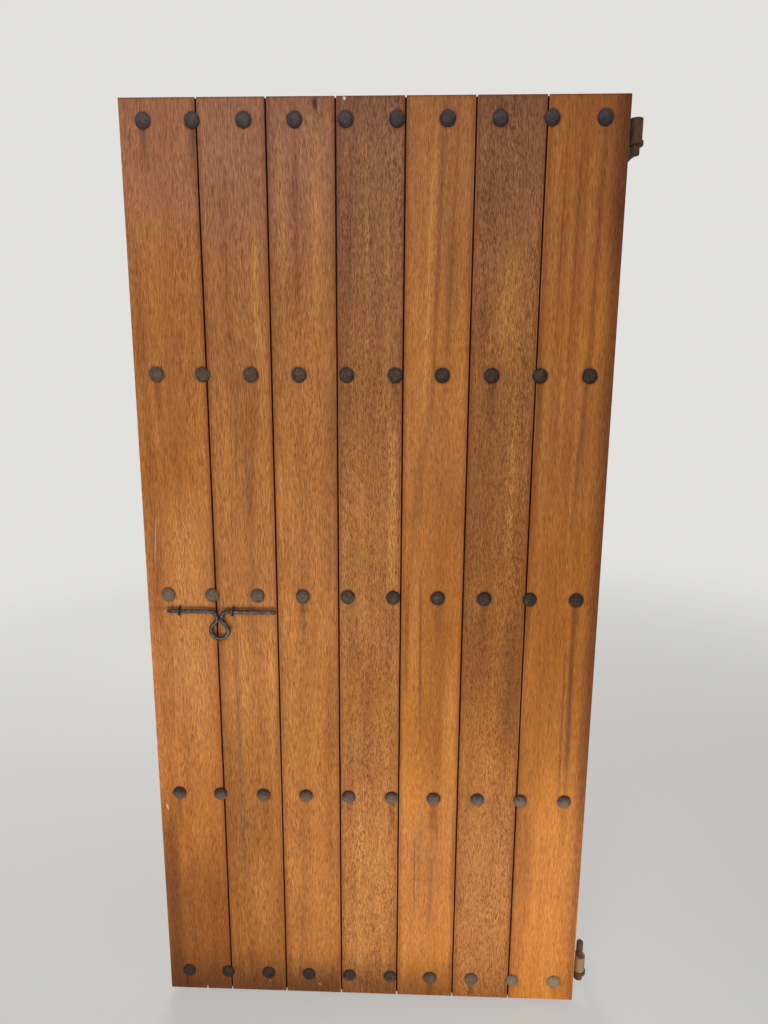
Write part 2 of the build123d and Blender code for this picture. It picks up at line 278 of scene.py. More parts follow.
def middle_height(node: str) -> float:
    """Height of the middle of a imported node."""
    low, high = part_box(node)
    return (low.z + high.z) / 2


def dress_node(node: str, material: bpy.types.Material) -> None:
    """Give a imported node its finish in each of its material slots."""
    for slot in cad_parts[node].material_slots:
        slot.material = material


def mesh_of(name: str, points: np.ndarray, faces: list[np.ndarray]) -> bpy.types.Mesh:
    """Put whole arrays into a mesh.

    Args:
        name: The mesh's name.
        points: Corner places, one row each.
        faces: Arrays of corner numbers, one row to a face, one array for each face size.

    Returns:
        The mesh, smooth but for its sharp edges.
    """
    mesh = bpy.data.meshes.new(name)
    totals = np.concatenate([np.full(len(f), f.shape[1]) for f in faces])
    corners = np.concatenate([f.ravel() for f in faces])
    mesh.vertices.add(len(points))
    mesh.vertices.foreach_set("co", points.astype(np.float32).ravel())
    mesh.loops.add(len(corners))
    mesh.loops.foreach_set("vertex_index", corners.astype(np.int32))
    mesh.polygons.add(len(totals))
    mesh.polygons.foreach_set("loop_start", np.r_[0, np.cumsum(totals)[:-1]].astype(np.int32))
    mesh.update(calc_edges=True)
    mesh.polygons.foreach_set("use_smooth", np.ones(len(totals), bool))
    mesh.set_sharp_from_angle(angle=math.radians(SHARP_DEGREES))
    return mesh


def paint_tone(mesh: bpy.types.Mesh, tone: np.ndarray) -> None:
    """Give each corner of a mesh its own tone, which the iron finish reads."""
    layer = mesh.attributes.new("tone", "FLOAT", "POINT")
    layer.data.foreach_set("value", tone.astype(np.float32))


def skin(rings: np.ndarray, start: np.ndarray, end: np.ndarray) -> Skin:
    """Close a skin over rings of points, with a point at each end.

    Each point of a ring joins the same point of the next ring, and each end ring fans out
    from its end point.

    Args:
        rings: Places of shape (rings, points in a ring, 3).
        start: Place of the first end point.
        end: Place of the last end point.

    Returns:
        The points, and the four-sided and three-sided faces.
    """
    count, around = rings.shape[:2]
    s = np.arange(around)
    following = (s + 1) % around
    base = np.arange(count - 1)[:, None] * around
    quads = np.stack([base + s, base + following, base + around + following, base + around + s], -1)
    first = np.full(around, count * around)
    last = (count - 1) * around
    opening = np.stack([first, following, s], -1)
    closing = np.stack([first + 1, last + s, last + following], -1)
    points = np.concatenate([rings.reshape(-1, 3), start[None], end[None]])
    return points, [quads.reshape(-1, 4), np.concatenate([opening, closing])]


def place_piece(
    mesh: bpy.types.Mesh, body: str, material: bpy.types.Material
) -> bpy.types.Object:
    """Put a new mesh in the scene.

    Args:
        mesh: The mesh, with its places in the frame.
        body: The body that it rides on.
        material: Its finish.

    Returns:
        The piece.
    """
    piece = bpy.data.objects.new(mesh.name, mesh)
    bpy.context.scene.collection.objects.link(piece)
    mesh.materials.append(material)
    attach(piece, body)
    return piece


class Run(Enum):
    """Which way the grain of a board runs."""

    UP = "up the leaf"
    ACROSS = "across the leaf"


DARK_STREAK: Colour = (112, 61, 33)
PALE_STREAK: Colour = (225, 157, 82)
STREAK_FADE_SHARE = 0.3
STREAK_FADE_MOST = 0.12
STREAK_RAGGED_MOST = 0.02
ZONE_WIDTH = 0.30


@dataclass(frozen=True)
class Streak:
    """A soft streak along the grain on the face of a board, from a broad cloud to a scratch.

    Attributes:
        across: Where it starts at its upper end, in metres from the board's middle.
        lean: How far it has moved across at its lower end.
        top: Height of its upper end.
        bottom: Height of its lower end.
        width: Distance from its middle line to where it is gone.
        strength: Share of its colour in the wood, from 0 to 1.
        colour: What it turns the wood towards.
    """

    across: float
    lean: float
    top: float
    bottom: float
    width: float
    strength: float
    colour: Colour = DARK_STREAK

    @property
    def length(self) -> float:
        """Height from its lower end to its upper end."""
        return self.top - self.bottom

    @property
    def soft(self) -> float:
        """How far past its end, and how far before it, the streak fades."""
        return min(STREAK_FADE_SHARE * self.length, STREAK_FADE_MOST)


def zone(top: float, bottom: float, strength: float, colour: Colour) -> Streak:
    """A tint over the whole width of a board between two heights."""
    return Streak(0.0, 0.0, top, bottom, ZONE_WIDTH, strength, colour)


@dataclass(frozen=True)
class Wood:
    """What sets one board apart from its neighbours.

    Attributes:
        seed: Shift of its grain through the noise.
        base: Its middle colour.
        bands: Strength of bands a finger wide.
        lines: Strength of lines a few millimetres wide.
        fleck: Strength of the short flecks where the grain interlocks.
        pores: Strength of the open pores.
        short: How short its fibres show: 1 where the grain interlocks, less where it is true.
        wander: How far the grain swings to the sides, in metres.
        cut: Angle of the growth rings to the face, in degrees.
        damp_and_shade: Strength of the dark foot: damp where rain splashes up, and painted shadow.
        fade: Strength of the painted sheen at the top, the sky's reflection on the oiled face.
        streaks: Its own streaks and marks.
    """

    seed: float
    base: Colour
    bands: float = 0.8
    lines: float = 0.7
    fleck: float = 0.6
    pores: float = 0.5
    short: float = 0.8
    wander: float = 0.03
    cut: float = 35.0
    damp_and_shade: float = 1.0
    fade: float = 1.0
    streaks: tuple[Streak, ...] = ()


@dataclass(frozen=True)
class Timber:
    """What the wood of all boards has in common, with cells of noise counted to the metre.

    Attributes:
        swing: Cells of the grain's slow swing: across, deep and along.
        clouds: Cells of the broad clouds, the same three ways.
        bands: Cells of the bands, across the rings and along the grain.
        rings: Cells of the growth rings, the same two ways.
        lines: Cells of the fine lines where the grain interlocks.
        fibres: Cells of the fibres where it does.
        flattened: Cells along the rings to one across them.
        sway: Cells of the flecks' sway from side to side, in any direction.
        sway_reach: How far they sway where the grain interlocks, in metres.
        flecks: Cells of the flecks there, three ways.
        pores: Cells of the pores, three ways.
        open_pores: Noise at which a pore starts and at which it is full.
        pore: Colour of the pores.
        pore_share: Share of that colour.
        growth: Gains of the base colour in the dark growth, between, and in the pale.
        figure: Gains that the fine figure runs through, from dark brown to golden.
        broad: Parts of clouds, bands and rings in the broad tone.
        fine: Parts of lines, fibres and flecks in the fine one.
        relief: Parts of fibres, lines, flecks and pores in the relief.
        relief_depth: What a whole step of the relief stands for, in metres.
        face_marks: Depths under the face where its marks are gone and where they are full.
        roughness: Roughness of the smoothest and of the roughest wood.
        gloss: Its specular level.
    """

    swing: Point = (7.0, 7.0, 2.2)
    clouds: Point = (9.0, 9.0, 5.0)
    bands: tuple[float, float] = (30.0, 0.9)
    rings: tuple[float, float] = (110.0, 2.6)
    lines: tuple[float, float] = (380.0, 20.0)
    fibres: tuple[float, float] = (980.0, 105.0)
    flattened: float = 0.35
    sway: float = 75.0
    sway_reach: float = 0.012
    flecks: Point = (760.0, 520.0, 200.0)
    pores: Point = (620.0, 620.0, 60.0)
    open_pores: tuple[float, float] = (0.60, 0.74)
    pore: Colour = (84, 46, 27)
    pore_share: float = 0.6
    growth: tuple[Point, ...] = ((0.56, 0.50, 0.44), (1.0, 1.0, 1.0), (1.34, 1.44, 1.50))
    figure: tuple[Point, ...] = ((0.54, 0.48, 0.42), (1.0, 1.0, 1.0), (1.36, 1.44, 1.50))
    broad: Point = (0.5, 1.5, 0.65)
    fine: Point = (0.95, 3.5, 3.0)
    relief: tuple[float, ...] = (0.4, 0.4, 0.3, -0.6)
    relief_depth: float = 0.0004
    face_marks: tuple[float, float] = (0.012, 0.003)
    roughness: tuple[float, float] = (0.44, 0.70)
    gloss: float = 0.13


@dataclass(frozen=True)
class Board:
    """Where a board lies: its grain, its middle and its joints.

    Attributes:
        run: Which way its grain runs.
        middle: Its middle across the grain.
        half: Half its width at the face.
        face: Y of its face.
        joints: Signs of the sides that meet a neighbour, -1 and 1.
        nails: X of the nail columns that it holds.
    """

    run: Run
    middle: float
    half: float
    face: float
    joints: tuple[int, ...] = ()
    nails: tuple[float, ...] = ()


@dataclass(frozen=True)
class Weather:
    """What sun and rain have done to the oiled wood, with the painted sheen and shade on it, by
    height.

    Attributes:
        painted_sheen: Colour of the painted sheen at the top, the sky's reflection on the oiled
            face.
        painted_sheen_from: Height where the painted sheen starts.
        painted_sheen_to: Height where it is full.
        painted_sheen_share: Share of that colour there.
        damp_and_shade: Colour of the dark foot, damp and painted shadow.
        damp_and_shade_low: Height under which it is full.
        damp_and_shade_high: Height where it ends.
        damp_and_shade_share: Share of that colour there.
        damp_and_shade_ragged: How far the grain makes its upper edge ragged.
        end_grain: How far the dark of the open end grain reaches down from the top.
        end_share: Share of the joints' edge colour there.
        end_ragged: How far the grain makes its lower edge ragged.
        joint_edge: Colour beside the joints.
        joint_reach: Distance in from a joint where it is gone.
        joint_share: Share of that colour at the joint.
        arris: Colour of the joints' arrises where they are worn, with a painted highlight on the
            eased edge.
        arris_reach: Distances in from a joint where it is gone and where it is full.
        arris_share: Share of that colour there.
        arris_cells: Cells of noise to the metre that pick the worn places.
        arris_worn: Noise at which the wear starts and at which it is full.
        joint_depth: Colour down inside the joints, raw wood with painted shade.
        joint_inside: Distances in from a joint where it is gone and where it is full.
        joint_mouth: Depths under the face where it starts and where it is full.
        joint_foot: Depths where it is gone and where it is still full.
        stain: Colour of the iron's stain below the nails.
        stain_run: Length of a stain.
        stain_head: Distance below a nail's middle where it is full.
        stain_width: Distance from a column's middle to where its stain is gone.
        stain_share: Share of that colour at its middle.
        stain_ragged: How far the grain makes its sides ragged.
        stain_cells: Cells of noise to the metre that pick the nails that have bled.
        stain_bled: Noise at which a nail starts to bleed and at which it bleeds in full.
        halo: Colour round the heads: dirt that gathers there, and painted contact shadow.
        halo_from: Distance from a nail's middle where it is strongest.
        halo_to: Distance where it is gone.
        halo_share: Share of that colour where it is strongest.
    """

    painted_sheen: Colour = (163, 116, 101)
    painted_sheen_from: float = 1.26
    painted_sheen_to: float = 2.08
    painted_sheen_share: float = 0.56
    damp_and_shade: Colour = (91, 54, 29)
    damp_and_shade_low: float = 0.012
    damp_and_shade_high: float = 0.14
    damp_and_shade_share: float = 0.66
    damp_and_shade_ragged: float = 0.05
    end_grain: float = 0.005
    end_share: float = 0.6
    end_ragged: float = 0.004
    joint_edge: Colour = (121, 63, 33)
    joint_reach: float = 0.012
    joint_share: float = 0.55
    arris: Colour = (205, 140, 88)
    arris_reach: tuple[float, float] = (0.0030, 0.0014)
    arris_share: float = 0.3
    arris_cells: Point = (6.0, 0.0, 3.0)
    arris_worn: tuple[float, float] = (0.5, 0.62)
    joint_depth: Colour = (27, 12, 6)
    joint_inside: tuple[float, float] = (0.0014, -0.0004)
    joint_mouth: tuple[float, float] = (0.0012, 0.003)
    joint_foot: tuple[float, float] = (0.0225, 0.021)
    stain: Colour = (76, 42, 24)
    stain_run: float = 0.15
    stain_head: float = 0.01
    stain_width: float = 0.012
    stain_share: float = 0.5
    stain_ragged: float = 0.01
    stain_cells: Point = (8.0, 0.0, 2.1)
    stain_bled: tuple[float, float] = (0.45, 0.62)
    halo: Colour = (78, 39, 20)
    halo_from: float = 0.0155
    halo_to: float = 0.0205
    halo_share: float = 0.4


@dataclass(frozen=True)
class NailRows:
    """Where the nail rows lie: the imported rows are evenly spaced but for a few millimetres."""

    count: int = 5

    @property
    def heights(self) -> list[float]:
        """Height of each row, from the bottom."""
        return [middle_height(f"nail_row_{i + 1}") for i in range(self.count)]

    @property
    def pitch(self) -> float:
        """Mean distance between rows."""
        return (self.heights[-1] - self.heights[0]) / (self.count - 1)


class WoodSurface:
    """The wood of one board, drawn through its whole thickness so that its ends match."""

    timber = Timber()

    def __init__(self, name: str, wood: Wood, board: Board, weather: Weather) -> None:
        """Build the material.

        The growth rings stand at the board's angle: radial = across cos + depth sin and
        tangent = depth cos - across sin, where across swings with a slow noise up the board.

        Args:
            name: The material's name.
            wood: The board's own grain and colours.
            board: Where the board lies.
            weather: What rain and sun have done to it, with painted sheen and shade.
        """
        self.graph = Graph(bpy.data.materials.new(name))
        self.wood, self.board, self.weather = wood, board, weather
        x, y, self.z = self.graph.place()
        upright = board.run is Run.UP
        self.along = self.z if upright else x
        self.across = (x if upright else self.z) - board.middle
        self.depth = (y - board.face) if upright else (board.face - y)
        self.place = (self.across, self.depth, self.along)
        swing = self.graph.noise(self.place, self.timber.swing, wood.seed, 2.0)
        bent = self.across + (swing - 0.5) * (2.0 * wood.wander)
        cos, sin = math.cos(math.radians(wood.cut)), math.sin(math.radians(wood.cut))
        self.radial = bent * cos + self.depth * sin
        self.tangent = self.depth * cos - bent * sin
        self._dress()

    def _grain(
        self, cells: tuple[float, float], shift: float, detail: float = 2.0, short: float = 1.0
    ) -> Field:
        """Noise in grain coordinates, less its middle.

        Args:
            cells: Cells to the metre across the rings and along the grain.
            shift: Shift from the board's seed.
            detail: Octaves past the first.
            short: What the cells along the grain are multiplied by.

        Returns:
            The noise, from minus a half to a half.
        """
        place = (self.radial, self.tangent, self.along)
        scale = (cells[0], self.timber.flattened * cells[0], cells[1] * short)
        return self.graph.noise(place, scale, self.wood.seed + shift, detail) - 0.5

    def _streak(self, streak: Streak, ragged: Field) -> Field:
        """Draw one streak: its line leans evenly from top to bottom, its edges are soft.

        Args:
            streak: The streak.
            ragged: Noise along the grain that roughens its sides.

        Returns:
            How much of the streak there is, from 0 to its strength.
        """
        line = (streak.top - self.z) * (streak.lean / streak.length) + streak.across
        rough = ragged * min(STREAK_RAGGED_MOST, streak.width)
        beside = (self.across + rough - line).size()
        ends = self.z.rise(streak.bottom - streak.soft, streak.bottom + streak.soft)
        ends = ends * self.z.rise(streak.top + streak.soft, streak.top - streak.soft)
        return beside.rise(streak.width, 0.0) * ends * streak.strength

    def _nearest(self, value: Field, marks: list[float]) -> Field:
        """The value's distance from the nearest of some marks."""
        gaps = [(value - mark).size() for mark in marks]
        near = gaps[0]
        for gap in gaps[1:]:
            near = self.graph.maths("MINIMUM", near, gap)
        return near

    def _nail_stains(self, colour: Field, ragged: Field, rows: NailRows) -> Field:
        """Draw dirt and painted contact shadow round the heads, and dark runs below some of them.

        The ring of dirt and painted contact shadow goes by the distance to the nearest nail.
        How far a point lies under the nail above it is a remainder of its height by the rows'
        pitch, and a slow noise picks the nails that have bled.

        Args:
            colour: The wood's colour.
            ragged: Noise along the grain that roughens the runs.
            rows: Where the rows lie.

        Returns:
            The stained colour.
        """
        graph, weather = self.graph, self.weather
        columns = [x - self.board.middle for x in self.board.nails]
        near = self._nearest(self.across + ragged * weather.stain_ragged, columns)
        level = self._nearest(self.z, rows.heights)
        away = graph.maths("SQRT", near * near + level * level)
        # Dirt, and painted contact shadow, in a ring round each head.
        dirt_and_shade = away.rise(weather.halo_to, weather.halo_from) * weather.halo_share
        colour = graph.blend(colour, dirt_and_shade, weather.halo)
        under = graph.maths("FLOORED_MODULO", rows.heights[-1] - self.z, rows.pitch)
        bled = graph.noise(self.place, weather.stain_cells, self.wood.seed + 51)
        share = near.rise(weather.stain_width, 0.0)
        share = share * under.rise(weather.stain_run, weather.stain_head)
        share = share * bled.rise(*weather.stain_bled) * weather.stain_share
        return graph.blend(colour, share, weather.stain)

    def _joints(self, colour: Field) -> Field:
        """Redder edges beside the joints, arrises worn pale in places with a painted highlight, and
        painted shade on the raw wood inside.
        """
        graph, weather = self.graph, self.weather
        patchy = graph.noise(self.place, weather.arris_cells, self.wood.seed + 60, 2.0)
        patchy = patchy.rise(*weather.arris_worn)
        for side in self.board.joints:
            inward = self.board.half - self.across * side
            beside = inward.rise(weather.joint_reach, 0.0) * weather.joint_share
            colour = graph.blend(colour, beside, weather.joint_edge)
            # Worn arris, partly a painted highlight on the eased edge.
            worn = inward.rise(*weather.arris_reach) * patchy * weather.arris_share
            colour = graph.blend(colour, worn, weather.arris)
            # Painted shade down inside the joint.
            inside = inward.rise(*weather.joint_inside) * self.depth.rise(*weather.joint_mouth)
            inside = inside * self.depth.rise(*weather.joint_foot)
            colour = graph.blend(colour, inside, weather.joint_depth)
        return colour

    def _weather_and_painted_light(self, colour: Field, ragged: Field) -> Field:
        """The painted sheen at the top, the dark edge of the end grain, and the dark foot, which is
        damp and painted shadow.
        """
        graph, weather = self.graph, self.weather
        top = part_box("plank_1")[1].z
        # Painted sheen: the top turns greyer and bluer, as the sky's reflection on the oiled face.
        painted_sheen = self.z.rise(weather.painted_sheen_from, weather.painted_sheen_to)
        painted_sheen = painted_sheen * (weather.painted_sheen_share * self.wood.fade)
        colour = graph.blend(colour, painted_sheen, weather.painted_sheen)
        # Dark foot: partly damp from splashed rain, partly painted shadow.
        damp_and_shade_foot = self.z + ragged * weather.damp_and_shade_ragged
        damp_and_shade_foot = damp_and_shade_foot.rise(weather.damp_and_shade_high, weather.damp_and_shade_low)
        damp_and_shade = damp_and_shade_foot * (weather.damp_and_shade_share * self.wood.damp_and_shade)
        colour = graph.blend(colour, damp_and_shade, weather.damp_and_shade)
        edge = (self.z + ragged * weather.end_ragged).rise(top - weather.end_grain, top)
        return graph.blend(colour, edge * weather.end_share, weather.joint_edge)

    def _figured(self, colour: Field, tone: Field) -> Field:
        """Darken and lighten a colour by its fine figure.

        The colour is multiplied by a gain that runs with the tone from a dark brown one
        through 1 to a golden one. A ramp holds no more than 1, so it holds each gain as its
        share of the greatest, by which the colour is then multiplied too.

        Args:
            colour: The colour without its fine figure.
            tone: The figure, with its middle at a half.

        Returns:
            The figured colour.
        """
        graph, gains = self.graph, self.timber.figure
        most = max(max(gain) for gain in gains)
        gain = graph.ramp(tone, [(*(part / most for part in gain), 1.0) for gain in gains])
        return graph.vector("MULTIPLY", graph.vector("MULTIPLY", colour, gain), (most,) * 3)

    def _dress(self) -> None:
        """Write the surface: growth, then weather with its painted sheen and shade, and streaks,
        then fine figure and marks.

        Each tone is a half plus noises times their parts and strengths. The broad one runs
        the colour from the dark growth through the base to the pale. The fine noises are also
        the relief. Each noise has its own shift from the board's seed.
        """
        graph, wood, timber = self.graph, self.wood, self.timber
        upright = self.board.run is Run.UP
        clouds = graph.noise(self.place, timber.clouds, wood.seed + 70) - 0.5
        bands = self._grain(timber.bands, 0.0, 1.0)
        rings = self._grain(timber.rings, 5.0)
        lines = self._grain(timber.lines, 9.0, short=math.sqrt(wood.short))
        fibres = self._grain(timber.fibres, 14.0, short=wood.short)
        sway = graph.noise(self.place, (timber.sway,) * 3, wood.seed + 3) - 0.5
        swayed = self.radial + sway * (timber.sway_reach * wood.short**2)
        swayed_place = (swayed, self.tangent, self.along)
        fleck_cells = (*timber.flecks[:2], timber.flecks[2] * wood.short)
        flecks = graph.noise(swayed_place, fleck_cells, wood.seed + 21) - 0.5
        pores = graph.noise(swayed_place, timber.pores, wood.seed + 33, 0.0)
        pores = pores.rise(*timber.open_pores) * wood.pores
        of_clouds, of_bands, of_rings = timber.broad
        broad = clouds * of_clouds + bands * (of_bands * wood.bands)
        broad = broad + rings * (of_rings * wood.bands)
        colour = graph.ramp(broad + 0.5, [linear(wood.base, gain) for gain in timber.growth])
        if upright:
            colour = self._weather_and_painted_light(colour, rings)
            on_face = self.depth.rise(*timber.face_marks)
            for streak in wood.streaks:
                share = self._streak(streak, rings) * on_face
                colour = graph.blend(colour, share, streak.colour)
        of_lines, of_fibres, of_flecks = timber.fine
        fine = lines * (of_lines * wood.lines) + fibres * (of_fibres * wood.lines)
        fine = fine + flecks * (of_flecks * wood.fleck)
        colour = self._figured(colour, fine + 0.5)
        colour = graph.blend(colour, pores * timber.pore_share, timber.pore)
        if upright:
            colour = self._nail_stains(colour, rings, NailRows())
            colour = self._joints(colour)
        roughness = (lines + pores * 0.5 + 0.5).onto(*timber.roughness)
        relief = fibres * timber.relief[0]
        for noise, part in zip((lines, flecks, pores), timber.relief[1:]):
            relief = relief + noise * part
        normal = graph.relief(relief + 0.5, timber.relief_depth)
        graph.finish(colour, roughness, normal, 0.0, timber.gloss)


PLANK_1_MARKS = (
    # Painted sheen: a greyer tint over the whole width, the sky's reflection on the oiled face.
    zone(1.22, 0.74, 0.25, (184, 118, 81)),
    zone(0.55, 0.05, 0.25, (150, 88, 10)),
    zone(1.80, 1.56, 0.30, (184, 113, 12)),
    # Darker low part: damp, and painted shadow.
    zone(0.36, -0.50, 0.48, (95, 50, 22)),
    # Painted shadow of the bolt's rod on the face just above it, with some dirt.
    Streak(0.02, 0.0, 1.000, 0.989, 0.20, 0.40, (99, 50, 29)),
    Streak(-0.055, 0.0, 1.75, 1.00, 0.018, 0.35),
    Streak(0.016, 0.0, 1.20, 0.78, 0.070, 0.35, PALE_STREAK),
    Streak(-0.058, 0.0, 0.50, -0.20, 0.036, 0.60, (99, 50, 29)),
    Streak(-0.049, -0.005, 1.193, 1.107, 0.003, 0.45, (220, 188, 161)),
    Streak(-0.061, 0.004, 0.508, 0.494, 0.003, 0.80, (229, 200, 172)),
    Streak(-0.034, -0.004, 0.036, -0.010, 0.0015, 1.0, (29, 15, 9)),
    Streak(0.016, 0.0, 0.006, -0.002, 0.003, 0.9, (210, 189, 170)),
)
PLANK_2_MARKS = (
    # Painted sheen: a greyer tint over the whole width, the sky's reflection on the oiled face.
    zone(1.34, 0.92, 0.25, (178, 116, 72)),
    zone(0.72, 0.06, 0.25, (160, 98, 18)),
    zone(1.78, 1.60, 0.25, (178, 110, 18)),
    # Darker low part: damp, and painted shadow.
    zone(0.62, -0.60, 0.30, (95, 52, 22)),
    # Painted shadow of the bolt's rod on the face just above it, with some dirt.
    Streak(-0.035, 0.0, 1.000, 0.989, 0.11, 0.45, (99, 50, 29)),
    Streak(-0.017, 0.0, 1.89, 1.62, 0.010, 0.30),
    Streak(0.040, 0.0, 1.79, 1.56, 0.014, 0.35, PALE_STREAK),
    Streak(0.008, 0.0, 1.42, 1.22, 0.014, 0.30, (118, 80, 50)),
    Streak(-0.029, 0.003, 0.97, 0.32, 0.013, 0.50, (112, 80, 54)),
    Streak(0.062, 0.0, 0.78, 0.60, 0.016, 0.35),
    Streak(0.010, 0.0, 0.36, 0.16, 0.050, 0.20, PALE_STREAK),
    Streak(0.028, 0.0, 0.029, 0.025, 0.003, 0.35, (214, 180, 140)),
)
PLANK_3_MARKS = (
    # Painted sheen: a greyer tint over the whole width, the sky's reflection on the oiled face.
    zone(1.30, 1.06, 0.25, (180, 114, 74)),
    zone(0.86, 0.56, 0.25, (176, 110, 22)),
    zone(1.76, 1.52, 0.25, (176, 110, 20)),
    zone(2.20, 2.00, 0.25, (101, 68, 52)),
    Streak(-0.042, 0.0, 1.94, 1.69, 0.018, 0.30, PALE_STREAK),
    Streak(-0.012, 0.0, 1.98, 1.64, 0.010, 0.45),
    Streak(0.030, 0.0, 1.94, 1.62, 0.016, 0.30, PALE_STREAK),
    Streak(-0.057, 0.0, 1.34, 1.14, 0.010, 0.35, PALE_STREAK),
    Streak(0.050, 0.0, 1.49, 1.32, 0.024, 0.30),
    Streak(0.048, 0.0, 0.88, 0.62, 0.024, 0.35),
    Streak(0.027, 0.002, 2.036, 2.016, 0.008, 0.9, (44, 24, 16)),
    Streak(0.013, 0.003, 0.025, 0.020, 0.005, 0.7, (221, 161, 91)),
)
PLANK_4_MARKS = (
    # Painted sheen: a greyer tint over the whole width, the sky's reflection on the oiled face.
    zone(1.46, 1.20, 0.20, (169, 109, 76)),
    zone(0.86, 0.70, 0.30, (165, 103, 15)),
    zone(2.20, 1.99, 0.35, (95, 66, 59)),
    zone(2.40, 1.45, 0.16, (99, 54, 31)),
    Streak(0.0, 0.0, 1.28, 0.98, 0.12, 0.16, PALE_STREAK),
    Streak(0.0, 0.0, 0.45, 0.12, 0.12, 0.20, PALE_STREAK),
    Streak(-0.045, 0.0, 1.89, 1.59, 0.016, 0.30),
    Streak(-0.007, 0.0, 1.90, 1.50, 0.007, 0.28, PALE_STREAK),
    Streak(0.034, 0.004, 1.84, 1.42, 0.007, 0.30, PALE_STREAK),
    Streak(0.048, 0.0, 1.40, 1.05, 0.014, 0.30, PALE_STREAK),
    Streak(-0.002, 0.0, 0.88, 0.60, 0.034, 0.32),
    Streak(-0.051, 0.0, 2.0385, 2.033, 0.004, 1.0, (252, 241, 230)),
)
PLANK_5_MARKS = (
    # Painted sheen: a greyer tint over the whole width, the sky's reflection on the oiled face.
    zone(1.50, 1.20, 0.25, (185, 120, 84)),
    zone(0.96, 0.66, 0.25, (185, 110, 14)),
    # Painted sheen: a greyer tint over the whole width, the sky's reflection on the oiled face.
    zone(0.52, 0.12, 0.25, (174, 114, 80)),
    zone(1.30, 0.62, 0.28, (121, 65, 24)),
    # Dark foot: damp, and painted shadow.
    zone(0.03, -0.20, 0.35, (91, 54, 29)),
    Streak(-0.010, -0.015, 1.99, 1.44, 0.010, 0.45, PALE_STREAK),
    Streak(0.006, -0.013, 1.99, 1.44, 0.009, 0.45),
    Streak(0.034, -0.012, 1.99, 1.56, 0.006, 0.35),
    Streak(-0.020, -0.028, 1.42, 1.06, 0.016, 0.36),
    Streak(-0.037, 0.0, 1.20, 0.85, 0.013, 0.20, PALE_STREAK),
    Streak(-0.055, 0.0, 1.05, 0.80, 0.009, 0.50),
    Streak(-0.026, 0.004, 1.05, 0.74, 0.006, 0.65),
    Streak(0.045, 0.0, 0.86, 0.62, 0.026, 0.30, PALE_STREAK),
    Streak(-0.030, 0.0, 0.44, 0.26, 0.004, 0.50),
    Streak(-0.030, 0.0, 0.326, 0.322, 0.003, 0.80, (76, 44, 27)),
    Streak(0.010, -0.002, 0.38, 0.20, 0.010, 0.45, (129, 91, 66)),
    Streak(-0.018, 0.0, 0.50, 0.28, 0.010, 0.40, (129, 91, 66)),
    Streak(0.060, 0.0, 0.52, 0.24, 0.009, 0.45),
)
PLANK_6_MARKS = (
    # Painted sheen: a greyer tint over the whole width, the sky's reflection on the oiled face.
    zone(1.50, 1.20, 0.25, (163, 110, 74)),
    zone(1.00, 0.62, 0.30, (163, 98, 14)),
    # Painted sheen: a greyer tint over the whole width, the sky's reflection on the oiled face.
    zone(0.52, 0.04, 0.28, (170, 116, 76)),
    zone(2.20, 2.00, 0.30, (95, 66, 52)),
    zone(2.50, 1.86, 0.32, (103, 61, 42)),
    # Dark foot: damp, and painted shadow.
    zone(0.03, -0.20, 0.35, (91, 54, 29)),
    zone(1.62, 0.72, 0.20, (103, 59, 31)),
    Streak(-0.047, 0.0, 1.89, 1.57, 0.026, 0.38),
    Streak(0.010, 0.0, 1.77, 1.54, 0.046, 0.34, (217, 152, 76)),
    Streak(0.028, 0.0, 1.46, 1.14, 0.016, 0.32, PALE_STREAK),
    Streak(-0.030, 0.0, 1.00, 0.82, 0.060, 0.42),
    Streak(0.045, 0.0, 1.00, 0.66, 0.045, 0.45),
    Streak(-0.037, 0.006, 0.39, 0.36, 0.003, 0.50),
)
PLANK_7_MARKS = (
    # Painted sheen: a greyer tint over the whole width, the sky's reflection on the oiled face.
    zone(1.55, 1.20, 0.25, (177, 114, 82)),
    zone(0.92, 0.58, 0.25, (177, 107, 10)),
    # Painted sheen: a greyer tint over the whole width, the sky's reflection on the oiled face.
    zone(0.50, 0.03, 0.25, (172, 112, 72)),
    zone(1.50, 0.55, 0.30, (125, 67, 22)),
    # Painted sheen: a greyer tint over the top, the sky's reflection on the oiled face.
    zone(2.50, 1.66, 0.24, (165, 93, 68)),
    zone(2.20, 2.00, 0.22, (101, 60, 42)),
    Streak(-0.060, -0.004, 2.20, 1.64, 0.020, 0.30, (121, 63, 42)),
    Streak(0.080, 0.0, 2.50, 1.72, 0.060, 0.55, (84, 46, 31)),
    Streak(-0.040, -0.004, 1.98, 1.62, 0.004, 0.45),
    Streak(-0.010, -0.005, 1.98, 1.56, 0.004, 0.45),
    Streak(-0.058, 0.002, 2.00, 1.10, 0.014, 0.20, PALE_STREAK),
    Streak(-0.025, 0.003, 1.90, 1.30, 0.009, 0.22, PALE_STREAK),
    Streak(0.012, -0.006, 1.95, 1.05, 0.012, 0.20, PALE_STREAK),
    Streak(0.033, -0.006, 1.976, 1.58, 0.009, 0.50),
    Streak(0.027, -0.019, 1.58, 1.12, 0.009, 0.45),
    Streak(0.027, 0.003, 0.98, 0.60, 0.009, 0.85),
    Streak(0.014, 0.002, 0.88, 0.56, 0.007, 0.65),
    Streak(0.043, 0.0, 1.133, 1.127, 0.003, 0.70),
    Streak(0.043, 0.001, 1.108, 1.102, 0.003, 0.70),
    Streak(0.076, 0.0, 2.20, 0.50, 0.036, 0.70, (97, 50, 29)),
    Streak(0.074, 0.0, 0.50, -0.20, 0.016, 0.45, (121, 67, 39)),
    # Pale line along the eased right edge near the bottom: wear, and a painted highlight.
    Streak(0.0785, 0.0, 0.36, 0.05, 0.002, 0.60, (238, 185, 121)),
)
